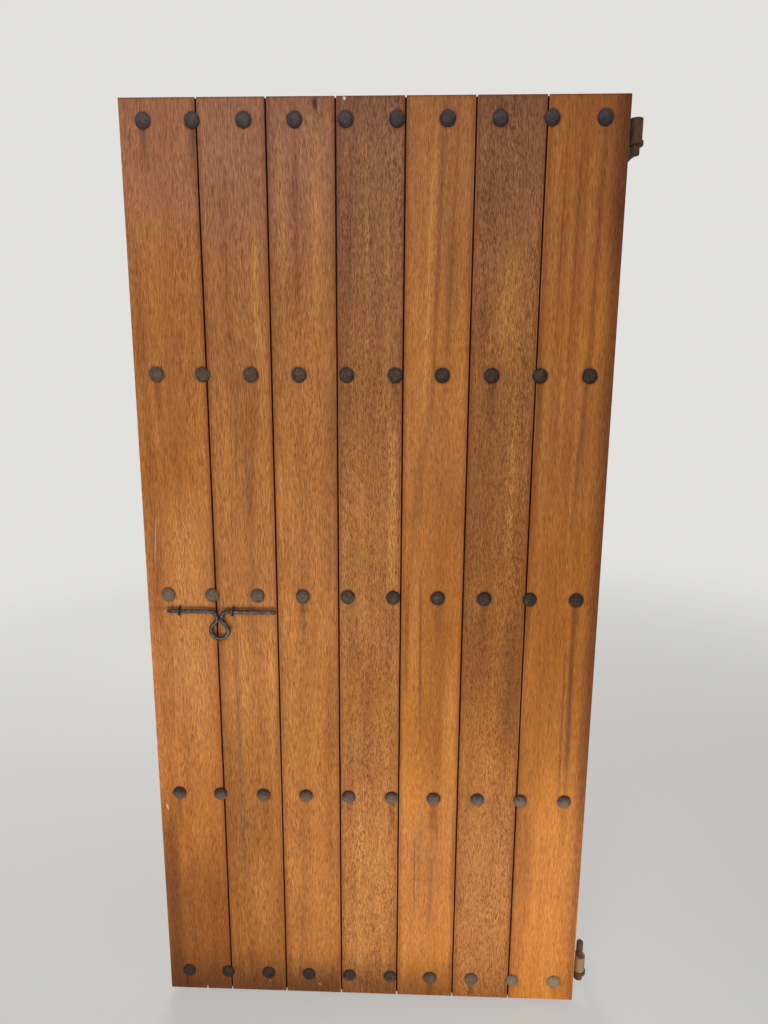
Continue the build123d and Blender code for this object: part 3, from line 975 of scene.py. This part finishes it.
PLANK_WOODS = (
    Wood(
        11.0, (186, 115, 53), bands=0.55, lines=0.6, fleck=0.28, short=0.52, wander=0.05, cut=20,
        damp_and_shade=1.25, fade=0.9, streaks=PLANK_1_MARKS,
    ),
    Wood(
        27.0, (180, 114, 55), bands=0.75, lines=0.62, fleck=0.22, short=0.48, wander=0.03,
        cut=55, damp_and_shade=1.3, streaks=PLANK_2_MARKS,
    ),
    Wood(
        43.0, (181, 115, 56), bands=0.55, lines=0.65, fleck=0.28, short=0.54, wander=0.045,
        cut=40, damp_and_shade=1.35, streaks=PLANK_3_MARKS,
    ),
    Wood(
        58.0, (169, 109, 56), bands=0.75, lines=0.76, fleck=0.56, pores=0.8, short=0.7,
        wander=0.05, cut=30, fade=0.75, streaks=PLANK_4_MARKS,
    ),
    Wood(
        71.0, (187, 117, 50), bands=0.65, lines=0.45, fleck=0.25, pores=0.2, short=0.6,
        wander=0.02, cut=60, damp_and_shade=0.8, fade=0.45, streaks=PLANK_5_MARKS,
    ),
    Wood(
        86.0, (166, 105, 49), bands=0.60, lines=0.78, fleck=0.64, pores=0.7, short=0.65,
        wander=0.045, cut=25, damp_and_shade=0.2, fade=0.6, streaks=PLANK_6_MARKS,
    ),
    Wood(
        99.0, (182, 112, 44), bands=0.85, lines=0.46, fleck=0.13, pores=0.15, short=0.55,
        wander=0.015, cut=65, damp_and_shade=0.1, fade=0.1, streaks=PLANK_7_MARKS,
    ),
)
LEDGE_WOOD = Wood(120.0, (146, 93, 54), fleck=0.5, damp_and_shade=0.0)


@dataclass
class Planking:
    """The seven upright planks.

    Attributes:
        count: How many planks there are.
        joint_and_tongue: How far a plank's box reaches past its face on the tongue's side.
        weather: What sun and rain have done to them, with painted sheen and shade.
        woods: The planks' own woods, from the free edge.
    """

    count: int = 7
    joint_and_tongue: float = 0.009
    weather: Weather = Weather()
    woods: tuple[Wood, ...] = PLANK_WOODS

    def boards(self) -> list[Board]:
        """Where each plank lies: its packed box less the tongue, with the columns it holds."""
        columns = NailRow(1).columns()
        boards = []
        for i in range(self.count):
            low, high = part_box(f"plank_{i + 1}")
            right = high.x - (self.joint_and_tongue if i < self.count - 1 else 0.0)
            sides = tuple(side for side, there in ((-1, i > 0), (1, i < self.count - 1)) if there)
            held = tuple(float(x) for x in columns if low.x < x < right)
            middle, half = (low.x + right) / 2, (right - low.x) / 2
            boards.append(Board(Run.UP, middle, half, low.y, sides, held))
        return boards

    def build(self) -> None:
        """Dress each plank in its own wood."""
        for i, (wood, board) in enumerate(zip(self.woods, self.boards())):
            surface = WoodSurface(f"plank_wood_{i + 1}", wood, board, self.weather)
            dress_node(f"plank_{i + 1}", surface.graph.owner)
            columns, streaks = len(board.nails), len(wood.streaks)
            LOG.info("plank_%d: %d nail columns, %d streaks", i + 1, columns, streaks)


@dataclass
class Ledges:
    """The ledges that the planks are nailed to, across the back.

    Attributes:
        count: How many there are.
        wood: The wood they are all cut from.
    """

    count: int = 5
    wood: Wood = LEDGE_WOOD

    def build(self) -> None:
        """Dress each ledge, with its grain along it and its back as its face."""
        for i in range(self.count):
            low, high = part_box(f"ledge_{i + 1}")
            board = Board(Run.ACROSS, (low.z + high.z) / 2, (high.z - low.z) / 2, high.y)
            surface = WoodSurface(f"ledge_wood_{i + 1}", self.wood, board, Weather())
            dress_node(f"ledge_{i + 1}", surface.graph.owner)
            LOG.info("ledge_%d dressed", i + 1)


# Cells to the metre, shift and octaves of the iron's broad noise, its fine one and its grit.
IRON_NOISES = ((95.0, 4.0, 3.0), (420.0, 8.0, 3.0), (1300.0, 12.0, 2.0))
IRON_MOTTLE: Point = (0.7, 0.8, 0.6)
# Tone at which use starts to bare the metal and at which it is bare.
IRON_BARED = (1.05, 1.45)
# Noise at which rust starts and is full, and how far a rusty iron lowers each.
RUST_NOISE = (0.60, 0.66)
RUST_LOWERS = (0.18, 0.08)
RUST_LEAST_SHARE = 0.3
# Fine noise at which a pit starts and is full, and the pit's share of its colour.
PIT_NOISE = (0.42, 0.30)
PIT_SHARE = 0.5
PIT_COLOUR: Colour = (27, 21, 19)
# Parts of the fine noise and the rust in the roughness, and how far it goes below and
# above its mean.
IRON_ROUGH = (0.6, 0.4)
IRON_SMOOTHER, IRON_ROUGHER = 0.12, 0.2
# Parts of the broad noise, the fine one and the grit in the relief, and the pits' depth.
IRON_RELIEF: Point = (0.35, 0.4, 0.15)
PIT_DEPTH = 0.2


@dataclass(frozen=True)
class Iron:
    """A forged iron finish.

    Attributes:
        dark: Colour of the scale.
        pale: Colour of the worn or dusty parts.
        rust: Colour of the rust.
        bare: Colour of metal that use keeps bright, where the tone is over 1.
        worn: Share that is worn or dusty, to which a piece's own tone is added.
        rusty: Share that has rusted.
        mottle: Strength of the mottling between the dark and the pale.
        roughness: Its mean roughness.
        metallic: How metallic it is.
        gloss: Its specular level.
        relief: Depth of the hammered and scaled relief, in metres.
    """

    dark: Colour
    pale: Colour
    rust: Colour
    bare: Colour = (228, 218, 198)
    worn: float = 0.3
    rusty: float = 0.1
    mottle: float = 1.0
    roughness: float = 0.55
    metallic: float = 0.3
    gloss: float = 0.5
    relief: float = 0.0006

    def material(self, name: str) -> bpy.types.Material:
        """Build the material.

        Broad, fine and gritty noise mixed, plus the worn share and the mesh's own tone where
        it has one, run the colour from the scale to the worn metal. Rust lies where the broad
        noise and the gritty one are high together, and pits where the fine one is low.

        Args:
            name: The material's name.

        Returns:
            The finished material.
        """
        graph = Graph(bpy.data.materials.new(name))
        place = graph.place()
        noises = [graph.noise(place, (cells,) * 3, *rest) for cells, *rest in IRON_NOISES]
        broad, fine, grit = noises
        tone = graph.read("ShaderNodeAttribute", "Fac", attribute_name="tone")
        mottles = [(noise - 0.5) * part for noise, part in zip(noises, IRON_MOTTLE)]
        worn = (mottles[0] + mottles[1] + mottles[2]) * self.mottle + tone + self.worn
        colour = graph.ramp(worn, [linear(self.dark), linear(self.pale)])
        colour = graph.blend(colour, tone.rise(*IRON_BARED), self.bare)
        limits = [at - drop * self.rusty for at, drop in zip(RUST_NOISE, RUST_LOWERS)]
        rusted = (broad * 0.5 + grit * 0.5).rise(*limits)
        share = min(1.0, RUST_LEAST_SHARE + self.rusty)
        colour = graph.blend(colour, rusted * share, self.rust)
        pits = fine.rise(*PIT_NOISE)
        colour = graph.blend(colour, pits * PIT_SHARE, PIT_COLOUR)
        roughness = (fine * IRON_ROUGH[0] + rusted * IRON_ROUGH[1]).onto(
            self.roughness - IRON_SMOOTHER, self.roughness + IRON_ROUGHER
        )
        parts = [noise * part for noise, part in zip(noises, IRON_RELIEF)]
        relief = parts[0] + parts[1] + parts[2] - pits * PIT_DEPTH
        normal = graph.relief(relief, self.relief)
        graph.finish(colour, roughness, normal, self.metallic, self.gloss)
        return graph.owner


NAIL_IRON = Iron(
    (43, 30, 26), (140, 119, 97), (99, 59, 42), worn=0.0, rusty=0.0, mottle=0.9,
    roughness=0.6, metallic=0.0, gloss=0.25, relief=0.0016,
)
# Nail iron for the top row with painted light: darker, and tinted purple-blue as a painted
# reflection of the sky.
PAINTED_SKY_NAIL_IRON = replace(
    NAIL_IRON, dark=(46, 37, 39), pale=(120, 102, 98), rust=(82, 58, 52), roughness=0.58,
    gloss=0.3,
)
BOLT_IRON = Iron(
    (35, 31, 35), (161, 157, 165), (91, 59, 42), worn=0.08, roughness=0.36, metallic=0.35
)
RUSTY_IRON = Iron(
    (50, 34, 27), (112, 84, 59), (127, 71, 37), rusty=0.6, roughness=0.72, metallic=0.1
)
DUSTY_IRON = Iron(
    (95, 67, 48), (189, 148, 106), (118, 69, 42), worn=0.6, rusty=0.4, roughness=0.8,
    metallic=0.1,
)
SCREW_IRON = Iron((56, 46, 42), (118, 99, 82), (118, 71, 44), rusty=0.4, roughness=0.6)
NAIL_SEED = 40
PHASES = 6


@dataclass
class NailRow:
    """One row of forged nails: hammered round heads on square tapering shanks.

    Attributes:
        number: Which row, counted from the bottom.
        tone: How pale the heads are at the free edge and at the hinge edge, from 0 to 1: partly
            dust, partly painted light.
        iron: Their finish.
        bend: Power of the way across that the tone goes by.
        painted_top_shading: Painted shade at a head's upper edge: how much lower its tone is there
            than at its middle; under 0 it is a painted highlight.
        edge: Painted shade all round its edge: how much lower its tone is there.
        head: Radius of a head.
        height: Height of its crown over the face.
        rim: Height of its edge.
        flat: Share of the radius that is hammered nearly flat.
        crown_rise: How far the crown rises inside that.
        shank: Width of the shank under the head.
        tip: Width of the shank at its end.
        length: Length of the shank.
        around: Points round a head, a multiple of eight so that the shank keeps its corners.
        facets: Hammer marks on a head.
        facet_turn: How far a mark may turn on from its even place, in radians.
        facet_lean: Least and greatest fall of a mark over the radius, in head heights.
        facet_level: Its least and greatest height at the middle, in head heights.
        dent: Depth of the dents between the marks, in head heights.
        dent_waves: Waves of the dents over the radius, along X and Z.
        wobble: Shares by which the second, third and fifth harmonic move the outline.
        rings: Rings of points on a head, as shares of its radius.
        edge_height: Share of its height that the outermost ring keeps.
        foot: Share of the outline where the head meets the face.
        dust_spread: How far the dust on a head may differ from that of its place.
    """

    number: int
    tone: tuple[float, float] = (0.3, 0.3)
    iron: Iron = NAIL_IRON
    bend: float = 1.0
    painted_top_shading: float = 0.0
    edge: float = 0.2
    head: float = 0.016
    height: float = 0.007
    rim: float = 0.0015
    flat: float = 0.6875
    crown_rise: float = 0.0021
    shank: float = 0.006
    tip: float = 0.0026
    length: float = 0.048
    around: int = 48
    facets: int = 9
    facet_turn: float = 0.7
    facet_lean: tuple[float, float] = (0.08, 0.32)
    facet_level: tuple[float, float] = (0.93, 1.05)
    dent: float = 0.022
    dent_waves: tuple[float, float] = (7.0, 6.0)
    wobble: Point = (0.009, 0.007, 0.005)
    rings: tuple[float, ...] = (
        0.14, 0.30, 0.46, 0.60, 0.6875, 0.75, 0.81, 0.87, 0.92, 0.96, 0.985, 1.0
    )
    edge_height: float = 0.55
    foot: float = 0.995
    dust_spread: float = 0.05

    @property
    def node(self) -> str:
        """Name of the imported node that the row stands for."""
        return f"nail_row_{self.number}"

    def columns(self) -> np.ndarray:
        """X of each nail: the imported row's corners sorted along X and split at wide gaps."""
        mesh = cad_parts[self.node].data
        places = np.empty(len(mesh.vertices) * 3, np.float32)
        mesh.vertices.foreach_get("co", places)
        xs = np.sort(places[::3])
        cuts = np.flatnonzero(np.diff(xs) > self.head) + 1
        return np.array([(part[0] + part[-1]) / 2 for part in np.split(xs, cuts)])

    def _crown(
        self, shares: np.ndarray, turns: np.ndarray, rng: np.random.Generator
    ) -> np.ndarray:
        """Work out the head's height over the face.

        Inside the flat share the crown falls with the square of the distance from the
        middle. Outside it the shoulder falls from there to the rim: with u the share of the
        way out, it keeps 1 - u to the 1.25, to the 0.9, of its height. Hammer marks are planes
        whose outward lean and level are drawn at random, and the lowest surface counts.

        Args:
            shares: Distances from the middle as shares of the radius.
            turns: Angles round the head.
            rng: Source of the random numbers.

        Returns:
            Heights of shape (shares, turns).
        """
        inner = self.height - self.crown_rise * (shares / self.flat) ** 2
        out = np.clip((shares - self.flat) / (1 - self.flat), 0, 1)
        edge = self.height - self.crown_rise
        shoulder = self.rim + (edge - self.rim) * (1 - out**1.25) ** 0.9
        profile = np.where(shares < self.flat, inner, shoulder)[:, None]
        x = shares[:, None] * np.cos(turns)
        y = shares[:, None] * np.sin(turns)
        angle = np.linspace(0, 2 * math.pi, self.facets, endpoint=False)
        angle = angle + rng.uniform(0, self.facet_turn, self.facets)
        lean = rng.uniform(*self.facet_lean, self.facets) * self.height
        level = self.height * rng.uniform(*self.facet_level, self.facets)
        planes = level - lean * (x[..., None] * np.cos(angle) + y[..., None] * np.sin(angle))
        dents = self.dent * self.height * np.ones_like(x)
        for place, waves in zip((x, y), self.dent_waves):
            dents = dents * np.sin(waves * place + rng.uniform(0, PHASES))
        return np.clip(np.minimum(profile, planes.min(-1)) + dents, self.rim * 0.8, self.height)

    def _nail(self, x: float, z: float, rng: np.random.Generator) -> Skin:
        """Make one nail as a closed skin from its crown to its point.

        The outline's radius is the head's, less a little that varies with the second, third
        and fifth harmonic of the turn. The shank's rings are squares: half the width over
        the larger of the turn's cosine and sine.

        Args:
            x: X of its middle.
            z: Z of its middle.
            rng: Source of the random numbers.

        Returns:
            The points and the faces.
        """
        turns = np.arange(self.around) / self.around * 2 * math.pi
        cos, sin = np.cos(turns), np.sin(turns)
        waves = zip(self.wobble, (2, 3, 5), rng.uniform(0, PHASES, 3))
        least = 1 - sum(self.wobble)
        outline = self.head * (least + sum(a * np.sin(k * turns + p) for a, k, p in waves))
        crown = self._crown(np.array(self.rings), turns, rng)
        crown[-1] *= self.edge_height
        square = 1 / np.maximum(np.abs(cos), np.abs(sin))
        radii = [share * outline for share in self.rings] + [outline * self.foot]
        radii += [self.shank / 2 * square, self.tip / 2 * square]
        heights = list(crown) + [np.zeros(self.around)] * 2 + [np.full(self.around, -self.length)]
        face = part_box("plank_1")[0].y
        rings = [(x + r * cos, face - h, z + r * sin) for r, h in zip(radii, heights)]
        top = np.array([x, face - crown[0].mean(), z])
        return skin(np.stack(rings).swapaxes(1, 2), top, np.array([x, face + self.length, z]))

    def build(self) -> None:
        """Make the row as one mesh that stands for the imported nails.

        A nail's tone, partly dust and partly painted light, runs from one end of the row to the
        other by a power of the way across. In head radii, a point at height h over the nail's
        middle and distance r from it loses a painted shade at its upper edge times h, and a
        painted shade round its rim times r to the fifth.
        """
        rng = np.random.default_rng(NAIL_SEED + self.number)
        z = middle_height(self.node)
        columns = self.columns()
        points, quads, triangles, tones = [], [], [], []
        way = np.linspace(0, 1, len(columns)) ** self.bend
        for x, tone in zip(columns, self.tone[0] + (self.tone[1] - self.tone[0]) * way):
            nail, (four, three) = self._nail(x, z, rng)
            offset = sum(len(p) for p in points)
            points.append(nail)
            quads.append(four + offset)
            triangles.append(three + offset)
            beside, over = (nail[:, 0] - x) / self.head, (nail[:, 2] - z) / self.head
            # Painted shade on each head, at its upper edge and round its rim, on top of its dust.
            dust_and_shade = tone + rng.uniform(-self.dust_spread, self.dust_spread) - self.painted_top_shading * over
            tones.append(dust_and_shade - self.edge * np.hypot(beside, over) ** 5)
        faces = [np.concatenate(quads), np.concatenate(triangles)]
        mesh = mesh_of(f"hammered_nails_{self.number}", np.concatenate(points), faces)
        paint_tone(mesh, np.concatenate(tones))
        material = self.iron.material(f"nail_iron_{self.number}")
        piece = place_piece(mesh, "leaf", material)
        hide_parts(self.node)
        LOG.info("%s: %d nails, %d faces", piece.name, len(columns), len(mesh.polygons))


@dataclass
class Bolt:
    """The bolt, bent from one forged rod: straight, down into a closed loop, and on.

    Attributes:
        rod: Radius of the rod.
        tip_to_loop: Distance from the pointed end to the loop's middle.
        loop: Radius of the loop's middle line.
        drop: How far the loop's middle lies under the rod.
        neck: Half the distance between the two legs where they come nearest.
        point: Length of the drawn-out point.
        point_radius: Radius at its end.
        tail: Length over which the other end is drawn in.
        tail_radius: Radius at that end.
        point_nose: Length over which the point's end is rounded.
        tail_nose: Length over which the other end is.
        nose_least: Share of its radius squared that an end keeps.
        bare: Length of the tip that use has rubbed bare.
        step: Distance between rings along the rod.
        around: Points in a ring.
        ripples: Waves of the forged rod, each with its share of the radius, the run to a
            radian, its lobes round the rod and its phase.
    """

    rod: float = 0.0045
    tip_to_loop: float = 0.1223
    loop: float = 0.0194
    drop: float = 0.0435
    neck: float = 0.005
    point: float = 0.014
    point_radius: float = 0.002
    tail: float = 0.004
    tail_radius: float = 0.0034
    point_nose: float = 0.0022
    tail_nose: float = 0.002
    nose_least: float = 0.02
    bare: float = 0.007
    step: float = 0.0012
    around: int = 28
    ripples: tuple[tuple[float, ...], ...] = (
        (0.012, 0.0031, 2, 0.0), (0.012, 0.0019, 3, 1.3), (0.010, 0.0052, -1, 0.0)
    )

    def _line(self, start: float, end: float, level: float) -> np.ndarray:
        """Points of the straight rod from one X to another."""
        xs = np.linspace(start, end, round(abs(end - start) / self.step))
        return np.stack([xs, np.full_like(xs, level)], -1)

    def _arc(
        self, middle: tuple[float, float], radius: float, start: float, end: float
    ) -> np.ndarray:
        """Points of an arc: the middle plus the radius times the cosine and sine of the turn.

        Args:
            middle: X and Z of its middle.
            radius: Its radius.
            start: Angle at its first point.
            end: Angle at its last point.

        Returns:
            The points, as X and Z rows.
        """
        turns = np.linspace(start, end, round(radius * abs(end - start) / self.step))
        x, z = middle
        return np.stack([x + radius * np.cos(turns), z + radius * np.sin(turns)], -1)

    def _route(self) -> np.ndarray:
        """Lay out the middle line: line, bend, loop, bend, line.

        A bend's circle touches the rod's line and the loop's circle from outside, and stands
        off the loop's middle by its own radius plus the neck, which gives a quadratic for it.

        Returns:
            The points, as X and Z rows.
        """
        low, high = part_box("sliding_bolt")
        level = high.z - self.rod
        half_term = self.neck - self.drop - self.loop
        constant = self.neck**2 + self.drop**2 - self.loop**2
        bend = -half_term - math.sqrt(half_term**2 - constant)
        reach = bend + self.neck
        x, z = low.x + self.tip_to_loop, level - self.drop
        lean = math.atan2(level - bend - z, reach)
        parts = [
            self._line(low.x, x - reach, level)[:-1],
            self._arc((x - reach, level - bend), bend, math.pi / 2, -lean)[:-1],
            self._arc((x, z), self.loop, math.pi - lean, 2 * math.pi + lean)[:-1],
            self._arc((x + reach, level - bend), bend, math.pi + lean, math.pi / 2)[:-1],
            self._line(x + reach, high.x, level),
        ]
        return np.concatenate(parts)

    def _radius(self, run: np.ndarray) -> np.ndarray:
        """The rod's radius along its run: drawn in at both ends, each with a round nose."""
        left = run[-1] - run
        point = np.interp(run, [0, self.point], [self.point_radius, self.rod])
        tail = np.interp(left, [0, self.tail], [self.tail_radius, self.rod])
        ends = ((run, self.point_nose), (left, self.tail_nose))
        noses = [1 - (1 - np.clip(way / nose, 0, 1)) ** 2 for way, nose in ends]
        kept = np.clip(noses[0] * noses[1], self.nose_least, 1)
        return np.minimum(point, tail) * np.sqrt(kept)

    def build(self, material: bpy.types.Material) -> None:
        """Make the rod: rings round its line, their radius rippled as under a hammer.

        Each ring stands across the line: its points are the line's normal times the cosine
        plus the outward direction times the sine. Low waves of the run and the turn, about a
        percent each, take off and leave the radius between them for the forged unevenness.

        Args:
            material: The bolt's finish.
        """
        low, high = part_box("sliding_bolt")
        route = self._route()
        ahead = np.gradient(route, axis=0)
        ahead /= np.linalg.norm(ahead, axis=1)[:, None]
        run = np.r_[0, np.cumsum(np.linalg.norm(np.diff(route, axis=0), axis=1))]
        turns = np.arange(self.around) / self.around * 2 * math.pi
        wave = 1 - sum(share for share, *_ in self.ripples)
        for share, length, lobes, phase in self.ripples:
            wave = wave + share * np.sin(run[:, None] / length + lobes * turns + phase)
        radius = self._radius(run)[:, None] * wave
        sideways, outwards = radius * np.cos(turns), radius * np.sin(turns)
        middle = (low.y + high.y) / 2
        x = route[:, :1] - ahead[:, 1:] * sideways
        z = route[:, 1:] + ahead[:, :1] * sideways
        ends = [np.array([route[i, 0], middle, route[i, 1]]) for i in (0, -1)]
        points, faces = skin(np.stack([x, middle - outwards, z], -1), *ends)
        mesh = mesh_of("forged_bolt", points, faces)
        tone = 2 * np.clip(1 - (points[:, 0] - low.x) / self.bare, 0, 1)
        paint_tone(mesh, tone)
        piece = place_piece(mesh, "bolt", material)
        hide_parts("sliding_bolt")
        for node in ("free_side_staple", "loop_side_staple"):
            dress_node(node, material)
        LOG.info("%s: %d rings, %d faces", piece.name, len(route), len(mesh.polygons))


class Hanging(Enum):
    """Which of the two hinges a piece belongs to."""

    UPPER = "upper"
    LOWER = "lower"


@dataclass
class Hinge:
    """One strap hinge with its screws and its pintle.

    Attributes:
        hanging: Which hinge it is.
        strap: Finish of the strap and its rolled eye.
        pintle: Finish of the pin, its collar and its tang.
        screws: Finish of the screws.
    """

    hanging: Hanging
    strap: Iron
    pintle: Iron = RUSTY_IRON
    screws: Iron = SCREW_IRON

    def build(self) -> None:
        """Dress the hinge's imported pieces."""
        irons = {"strap_hinge": self.strap, "pintle": self.pintle, "strap_screws": self.screws}
        for piece, iron in irons.items():
            node = f"{self.hanging.value}_{piece}"
            dress_node(node, iron.material(f"{node}_iron"))
            LOG.info("%s dressed", node)


@dataclass(frozen=True)
class PhotoView:
    """The camera: its place, its turn and how wide it sees.

    Attributes:
        place: Where it stands.
        turn: Its turn about X, Y and Z in degrees.
        focal_pixels: Focal length in pixels.
        long_side: Pixels of the picture's long side.
        sensor: Width that the focal length is given for, in millimetres.
    """

    place: Point = (-0.4569, -1.3981, 1.4595)
    turn: Point = (79.974, -0.317, 1.762)
    focal_pixels: float = 635.2
    long_side: int = 1024
    sensor: float = 36.0

    def build(self) -> None:
        """Make the scene's camera."""
        data = bpy.data.cameras.new("view")
        data.sensor_width = self.sensor
        data.lens = self.focal_pixels / self.long_side * self.sensor
        camera = bpy.data.objects.new("view", data)
        camera.location = self.place
        camera.rotation_euler = [math.radians(a) for a in self.turn]
        bpy.context.scene.collection.objects.link(camera)
        bpy.context.scene.camera = camera


@dataclass(frozen=True)
class Lamp:
    """An oblong soft lamp that looks at a point.

    Attributes:
        name: Its name.
        place: Where it stands.
        aim: What it looks at.
        size: Its width and height.
        watts: Its power.
        spread: Angle that it shines into, in degrees.
    """

    name: str
    place: Point
    aim: Point
    size: tuple[float, float]
    watts: float
    spread: float = 180.0

    def build(self) -> None:
        """Make the lamp, turned from straight down to its aim."""
        data = bpy.data.lights.new(self.name, "AREA")
        data.shape = "RECTANGLE"
        data.size, data.size_y = self.size
        data.energy = self.watts
        data.spread = math.radians(self.spread)
        lamp = bpy.data.objects.new(self.name, data)
        lamp.location = self.place
        dx, dy, dz = np.subtract(self.aim, self.place)
        lamp.rotation_euler = (math.atan2(math.hypot(dx, dy), -dz), 0.0, math.atan2(-dx, dy))
        lamp.visible_camera = False
        bpy.context.scene.collection.objects.link(lamp)


LAMPS = (
    Lamp("ground_left", (-1.1, -1.75, 0.12), (-0.55, 0.0, 0.80), (0.8, 0.2), 6.5, 115.0),
    Lamp("ground_right", (0.25, -1.0, 0.14), (-0.30, 0.0, 0.35), (0.6, 0.2), 2.8, 120.0),
    Lamp("sky", (-0.9, -2.4, 2.6), (-0.5, 0.0, 1.2), (1.6, 1.6), 25.2),
    Lamp("back", (-1.4, 2.8, 2.0), (-0.5, 0.0, 1.0), (1.8, 1.8), 42.0),
)


@dataclass(frozen=True)
class Studio:
    """A pale floor under plain soft light.

    Attributes:
        floor_z: Level of the floor, a little under the hanging leaf.
        reach: Half the floor's side.
        pale: Colour of the floor and of what lies beyond it.
        air: Strength of the light from all round.
        clear: Distance from the door at which the floor starts to pass into the background.
        gone: Distance at which it has.
        near: Share of the background's glow that the floor has close by.
        roughness: The floor's roughness.
        lamps: The soft lamps.
    """

    floor_z: float = -0.016
    reach: float = 40.0
    pale: Colour = (226, 225, 222)
    air: float = 0.24
    clear: float = 1.0
    gone: float = 5.0
    near: float = 0.45
    roughness: float = 0.9
    lamps: tuple[Lamp, ...] = LAMPS

    def _floor(self) -> None:
        """Make the floor, which for the camera passes into the background with distance."""
        signs = ((-1, -1), (1, -1), (1, 1), (-1, 1))
        points = [(x * self.reach, y * self.reach, self.floor_z) for x, y in signs]
        mesh = mesh_of("floor", np.array(points), [np.array([[0, 1, 2, 3]])])
        floor = bpy.data.objects.new("floor", mesh)
        bpy.context.scene.collection.objects.link(floor)
        graph = Graph(bpy.data.materials.new("pale_floor"))
        pale = linear(self.pale)
        graph.put(graph.shader, Roughness=self.roughness, **{"Base Color": pale})
        x, y, _ = graph.place()
        away = graph.maths("SQRT", x * x + y * y).rise(self.clear, self.gone)
        seen = graph.read("ShaderNodeLightPath", "Is Camera Ray") * away.onto(self.near, 1.0)
        glow = Field(graph, graph.node("ShaderNodeEmission", pale).outputs[0])
        lit = Field(graph, graph.shader.outputs[0])
        graph.mixed(seen, lit, glow, "Material Output")
        mesh.materials.append(graph.owner)

    def _air(self) -> None:
        """Make the world: dim light for the object, the pale background where it is looked at."""
        world = bpy.data.worlds.new("air")
        bpy.context.scene.world = world
        graph = Graph(world)
        camera, glossy, through = (
            graph.read("ShaderNodeLightPath", f"Is {kind} Ray")
            for kind in ("Camera", "Glossy", "Transmission")
        )
        seen = graph.maths("MAXIMUM", graph.maths("MAXIMUM", camera, glossy), through)
        dim, bright = (
            Field(graph, graph.node("ShaderNodeBackground", colour, strength).outputs[0])
            for colour, strength in (((1.0, 1.0, 1.0, 1.0), self.air), (linear(self.pale), 1.0))
        )
        graph.mixed(seen, dim, bright, "World Output")

    def build(self) -> None:
        """Make floor, world and lamps, and set the plain view transform."""
        self._floor()
        self._air()
        for lamp in self.lamps:
            lamp.build()
        bpy.context.scene.view_settings.view_transform = "Standard"


# Each row's tones are partly dust and partly painted light; a positive grime paints shade on the
# heads' upper edges, a negative one a painted highlight.
NAIL_ROWS = (
    NailRow(1, (-0.08, 0.94), bend=2.6, painted_top_shading=0.14),
    NailRow(2, (0.25, 0.42), painted_top_shading=0.32),
    NailRow(3, (0.66, -0.02), bend=0.6, painted_top_shading=0.06),
    NailRow(4, (0.38, 0.02), bend=0.8, painted_top_shading=-0.05),
    NailRow(5, (0.34, 0.14), PAINTED_SKY_NAIL_IRON, painted_top_shading=-0.12),
)


def main() -> None:
    """Build the door's pieces in order and report each."""
    logging.basicConfig(level=logging.INFO, format="%(name)s: %(message)s")
    PhotoView().build()
    Studio().build()
    Planking().build()
    Ledges().build()
    for row in NAIL_ROWS:
        row.build()
    Bolt().build(BOLT_IRON.material("bolt_iron_forged"))
    Hinge(Hanging.UPPER, RUSTY_IRON).build()
    Hinge(Hanging.LOWER, DUSTY_IRON).build()


if __name__ == "__main__":
    main()
